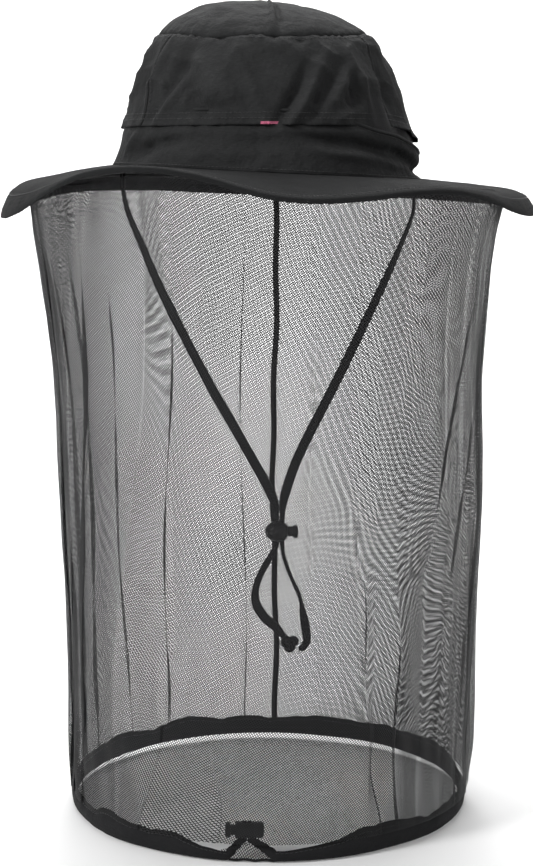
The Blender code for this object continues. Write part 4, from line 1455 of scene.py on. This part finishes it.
def plastic_finish():
    """Spark-eroded moulding: fine grain, slightly polished where fingers rub it."""
    finish = Finish("lock_plastic", (0.013, 0.013, 0.014), 0.42)
    grain = finish.noise(2600, 3)
    finish.bump(grain, 0.00006, 0.6)
    finish.bump(finish.noise(260, 2), 0.0003, 0.25)
    finish.shade(finish.noise(300, 3), 0.75, 1.35)
    finish.rough(finish.noise(420, 3), 0.30, 0.58)
    return finish.material


def turned_piece(name, profile, centre, out, material, segments=56, squeeze=None):
    """A shape turned about X: profile is (along, radius), from its inner end to its outer."""
    points = []
    for along, radius in profile:
        for step in range(segments):
            turn = 2 * math.pi * step / segments
            reach = radius * (squeeze(along, turn) if squeeze else 1.0)
            around = Vector((0, reach * math.cos(turn), reach * math.sin(turn)))
            points.append(centre + Vector((out * along, 0, 0)) + around)
    distances = distances_along([Vector(pair) for pair in profile])
    faces, uvs = tube_faces(distances, segments, 0.03)
    return turn_outward(mesh_piece(name, points, faces, uvs, material), merge=0.00001)


def cut_slot(piece, centre, size):
    """Cuts an upright slot with rounded ends through a lock's piece."""
    shape = bmesh.new()
    bmesh.ops.create_cube(shape, size=1)
    for vert in shape.verts:
        vert.co = Vector(a * b for a, b in zip(vert.co, size)) + centre
    edges = [edge for edge in shape.edges if abs(edge.verts[0].co.z - edge.verts[1].co.z) > 0.001]
    bmesh.ops.bevel(shape, geom=edges, offset=size[1] * 0.32, segments=5, affect="EDGES")
    mesh = bpy.data.meshes.new("slot_cutter")
    shape.to_mesh(mesh)
    shape.free()
    cutter = bpy.data.objects.new("slot_cutter", mesh)
    bpy.context.scene.collection.objects.link(cutter)
    boolean = piece.modifiers.new("slot", "BOOLEAN")
    boolean.operation = "DIFFERENCE"
    boolean.object = cutter
    rim = piece.modifiers.new("soft_rim", "BEVEL")
    rim.width = 0.00025
    rim.segments = 2
    rim.limit_method = "ANGLE"
    rim.angle_limit = math.radians(50)
    bake(piece)
    bpy.data.objects.remove(cutter)
    bpy.data.meshes.remove(mesh)
    piece.data.set_sharp_from_angle(angle=math.radians(38))


def ball_profile(back, mouth, radius, bore, floor):
    """Round the ball from its back pole to a lip at the mouth, then down the bore."""
    start, end = math.pi, math.acos(min(1.0, (mouth + back - radius) / radius))
    outside = []
    for step in range(21):
        turn = start + (end - start) * step / 20
        outside.append((radius - back + radius * math.cos(turn), radius * math.sin(turn)))
    lip = outside[-1][1]
    neck = [
        (mouth + 0.0004, lip - 0.0008),
        (mouth + 0.0007, bore + 0.0005),
        (mouth + 0.0003, bore),
    ]
    return outside + neck + [(floor, bore), (floor, 0)]


def barrel_profile(back, mouth, radius, bore, floor):
    """A barrel with a domed end, two shallow grip grooves and a rolled lip."""
    outside = [(-back, 0), (-back, radius * 0.62), (-back + 0.0003, radius * 0.80)]
    outside += [(-back + 0.0010, radius * 0.94), (-back + 0.0020, radius)]
    for groove in (-0.0062, -0.0047):
        outside += [(groove - 0.0004, radius), (groove, radius * 0.93), (groove + 0.0004, radius)]
    outside += [(0.0048, radius), (0.0052, radius * 1.04), (mouth - 0.0004, radius * 1.04)]
    outside += [(mouth, radius * 0.98), (mouth, bore), (floor, bore), (floor, 0)]
    return outside


def plunger_profile(inner_end, stem, start, end, radius):
    """A stem with a domed button whose rim has a bead."""
    return [
        (inner_end, 0),
        (inner_end, stem - 0.0003),
        (inner_end + 0.0003, stem),
        (start, stem),
        (start + 0.0001, radius - 0.0006),
        (start + 0.0005, radius),
        (start + 0.0013, radius),
        (start + 0.0016, radius - 0.00025),
        (start + 0.0019, radius),
        (end - 0.0009, radius),
        (end - 0.0003, radius - 0.0005),
        (end - 0.0002, radius * 0.70),
        (end, radius * 0.45),
        (end, 0),
    ]


def button_ribs(start, count, depth):
    def squeeze(along, turn):
        return 1 - depth * (0.5 - 0.5 * math.cos(turn * count)) if along > start else 1.0

    return squeeze


def make_lock(
    prefix, body, plunger_body, out, cord, behind_slot, mouth, radius, stem, button,
    button_start, button_end, window_room, profile, flatten,
):
    """Body and plunger of one lock, placed by the body's box in the frame."""
    low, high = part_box(f"{prefix}_body")
    slot_x = low.x + behind_slot if out > 0 else high.x - behind_slot
    centre = Vector((slot_x, (low.y + high.y) / 2, (low.z + high.z) / 2))
    shell = turned_piece(
        f"{prefix}_shell",
        profile(behind_slot, mouth, radius, stem + 0.0003, -behind_slot + 0.0013),
        centre,
        out,
        lock_plastic,
        squeeze=lambda along, turn: flatten,
    )
    slot_length, slot_width = 2 * cord + 0.0010, cord + 0.0007
    cut_slot(shell, centre, (slot_length, slot_width, 0.03))
    plunger = turned_piece(
        f"{prefix}_button",
        plunger_profile(-slot_length / 2 - 0.0013, stem, button_start, button_end, button),
        centre,
        out,
        lock_plastic,
        segments=64,
        squeeze=button_ribs(button_start + 0.0002, 16, 0.05),
    )
    window_centre = centre + Vector((0.001 * out, 0, 0))
    cut_slot(plunger, window_centre, (slot_length + window_room, slot_width, 0.03))
    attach(shell, body)
    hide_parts(f"{prefix}_body")
    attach(plunger, plunger_body)
    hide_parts(f"{prefix}_plunger")


lock_plastic = plastic_finish()
make_lock(
    "chin_lock", "chin_lock", "chin_lock_button", out=1, cord=0.0032, behind_slot=0.0097,
    mouth=0.0049, radius=0.0085, stem=0.0034, button=0.0046, button_start=0.0085,
    button_end=0.0125, window_room=0.003, profile=ball_profile, flatten=0.0070 / 0.0085,
)
make_lock(
    "hem_lock", "hem", "hem_lock_button", out=-1, cord=0.0030, behind_slot=HEM_LOCK_BEHIND_SLOT,
    mouth=0.0075, radius=0.00525, stem=0.0033, button=0.0048, button_start=0.0103,
    button_end=0.0138, window_room=0.002, profile=barrel_profile, flatten=1.0,
)


def spring_finish():
    """Drawn steel wire with fine marks along it."""
    finish = Finish("spring_steel", (0.50, 0.50, 0.51), 0.28, metallic=1.0)
    marks = finish.noise(900, 2)
    finish.bump(marks, 0.00002, 0.5)
    finish.shade(marks, 0.8, 1.1)
    finish.rough(finish.noise(500, 2), 0.2, 0.4)
    return finish.material


spring_steel = spring_finish()
for lock, out in (("chin_lock", 1), ("hem_lock", -1)):
    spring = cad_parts[f"{lock}_spring"]
    spring.material_slots[0].material = spring_steel
    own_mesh(spring)

# ---- Stitching ------------------------------------------------------------------------------
# Lockstitch in black polyester thread: round the brim's edge and the net's tape, twice round
# the flap's hem, beside the crown's seams, and along the casing.

THREAD = 0.00042
STITCH = 0.0026


def build_sewing_tree():
    """Lays one short, fat stitch after another along every edge chain of a mesh."""
    tree = bpy.data.node_groups.new("sewing", "GeometryNodeTree")
    face = tree.interface
    face.new_socket("Geometry", in_out="INPUT", socket_type="NodeSocketGeometry")
    face.new_socket("Geometry", in_out="OUTPUT", socket_type="NodeSocketGeometry")
    pitch = face.new_socket("Stitch Length", in_out="INPUT", socket_type="NodeSocketFloat")
    thread = face.new_socket("Thread", in_out="INPUT", socket_type="NodeSocketFloat")
    colour = face.new_socket("Thread Finish", in_out="INPUT", socket_type="NodeSocketMaterial")

    def add(kind):
        return tree.nodes.new(kind)

    source, target = add("NodeGroupInput"), add("NodeGroupOutput")
    curve = add("GeometryNodeMeshToCurve")
    dots = add("GeometryNodeCurveToPoints")
    dots.mode = "LENGTH"
    ball = add("GeometryNodeMeshUVSphere")
    ball.inputs["Segments"].default_value = 6
    ball.inputs["Rings"].default_value = 5
    ball.inputs["Radius"].default_value = 0.5
    size = add("ShaderNodeCombineXYZ")
    long = add("ShaderNodeMath")
    long.operation = "MULTIPLY"
    long.inputs[1].default_value = 0.86
    stretch = add("GeometryNodeTransform")
    turn = add("FunctionNodeAlignRotationToVector")
    turn.axis = "Z"
    scatter = add("GeometryNodeInstanceOnPoints")
    real = add("GeometryNodeRealizeInstances")
    paint = add("GeometryNodeSetMaterial")
    for giver, output, taker, socket in (
        (source, "Geometry", curve, "Mesh"),
        (curve, "Curve", dots, "Curve"),
        (source, "Stitch Length", dots, "Length"),
        (source, "Stitch Length", long, 0),
        (source, "Thread", size, "X"),
        (source, "Thread", size, "Y"),
        (long, 0, size, "Z"),
        (ball, "Mesh", stretch, "Geometry"),
        (size, "Vector", stretch, "Scale"),
        (dots, "Points", scatter, "Points"),
        (dots, "Tangent", turn, "Vector"),
        (stretch, "Geometry", scatter, "Instance"),
        (turn, "Rotation", scatter, "Rotation"),
        (scatter, "Instances", real, "Geometry"),
        (real, "Geometry", paint, "Geometry"),
        (source, "Thread Finish", paint, "Material"),
        (paint, "Geometry", target, "Geometry"),
    ):
        tree.links.new(giver.outputs[output], taker.inputs[socket])
    return tree, (pitch.identifier, thread.identifier, colour.identifier)


def sew(name, rows, body, pitch=STITCH):
    """One plain mesh of stitches along rows of points."""
    points, edges = [], []
    for row in rows:
        start = len(points)
        points += [tuple(point) for point in row]
        edges += [(start + step, start + step + 1) for step in range(len(row) - 1)]
    mesh = bpy.data.meshes.new(name)
    mesh.from_pydata(points, edges, [])
    piece = bpy.data.objects.new(name, mesh)
    bpy.context.scene.collection.objects.link(piece)
    sewing = piece.modifiers.new("sewing", "NODES")
    sewing.node_group = sewing_tree
    for identifier, value in zip(sewing_inputs, (pitch, THREAD, thread_cloth)):
        sewing[identifier] = value
    bake(piece)
    piece.data.shade_smooth()
    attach(piece, body)


def thread_finish():
    finish = Finish("black_thread", (0.012, 0.012, 0.013), 0.6, sheen=0.2)
    twist = finish.noise(4000, 2)
    finish.bump(twist, 0.00005, 0.7)
    finish.shade(finish.noise(150, 2), 0.7, 1.5)
    return finish.material


sewing_tree, sewing_inputs = build_sewing_tree()
thread_cloth = thread_finish()
ring_turns = turns_between(0, 2 * math.pi, 420)
ON_CLOTH = 0.00012
crown_rows = [
    [crown_side(turn, share, ON_CLOTH) for turn in ring_turns] for share in (0.925, 0.865, 0.035)
]
for seam in SEAM_TURNS:
    for offset in (-0.026, 0.026):
        crown_rows.append(
            [crown_side(seam + offset, 0.05 + 0.85 * share, ON_CLOTH) for share in even_shares(60)]
        )
sew("crown_stitches", crown_rows, "hat")
wall_rows = [[wall_place(turn, share, 0.0002) for turn in ring_turns] for share in (0.055, 0.95)]
sew("wall_stitches", wall_rows, "hat")
brim_rows = [
    [brim_place(turn, radius, below) for turn in ring_turns]
    for radius, below in (
        (BRIM_OUTER - 0.0046, -0.0006),
        (BRIM_OUTER - 0.0046, 0.0027),
        (BRIM_INNER + 0.0036, -0.0001),
        (NET_TAPE_INNER + 0.0017, 0.0028),
        (NET_TAPE_OUTER - 0.0017, 0.0028),
    )
]
sew("brim_stitches", brim_rows, "hat")


def casing_seam(level, outward):
    """A row along the casing, at a level between its bottom, -1, and top, 1."""
    row = []
    for share in even_shares(320):
        place, (thick, height) = casing_place(share)
        out = Vector((place.x, place.y, 0)).normalized()
        squeeze = 1 - 0.62 * smooth_step((level - 0.30) / 0.5)
        reach = thick * math.sqrt(1 - level * level) * squeeze + 0.0002
        row.append(place + out * reach * outward + Vector((0, 0, height * level)))
    return row


hem_rows = [casing_seam(0.62, outward) for outward in (1, -1)]
sew("hem_stitches", hem_rows, "hem", pitch=0.0030)
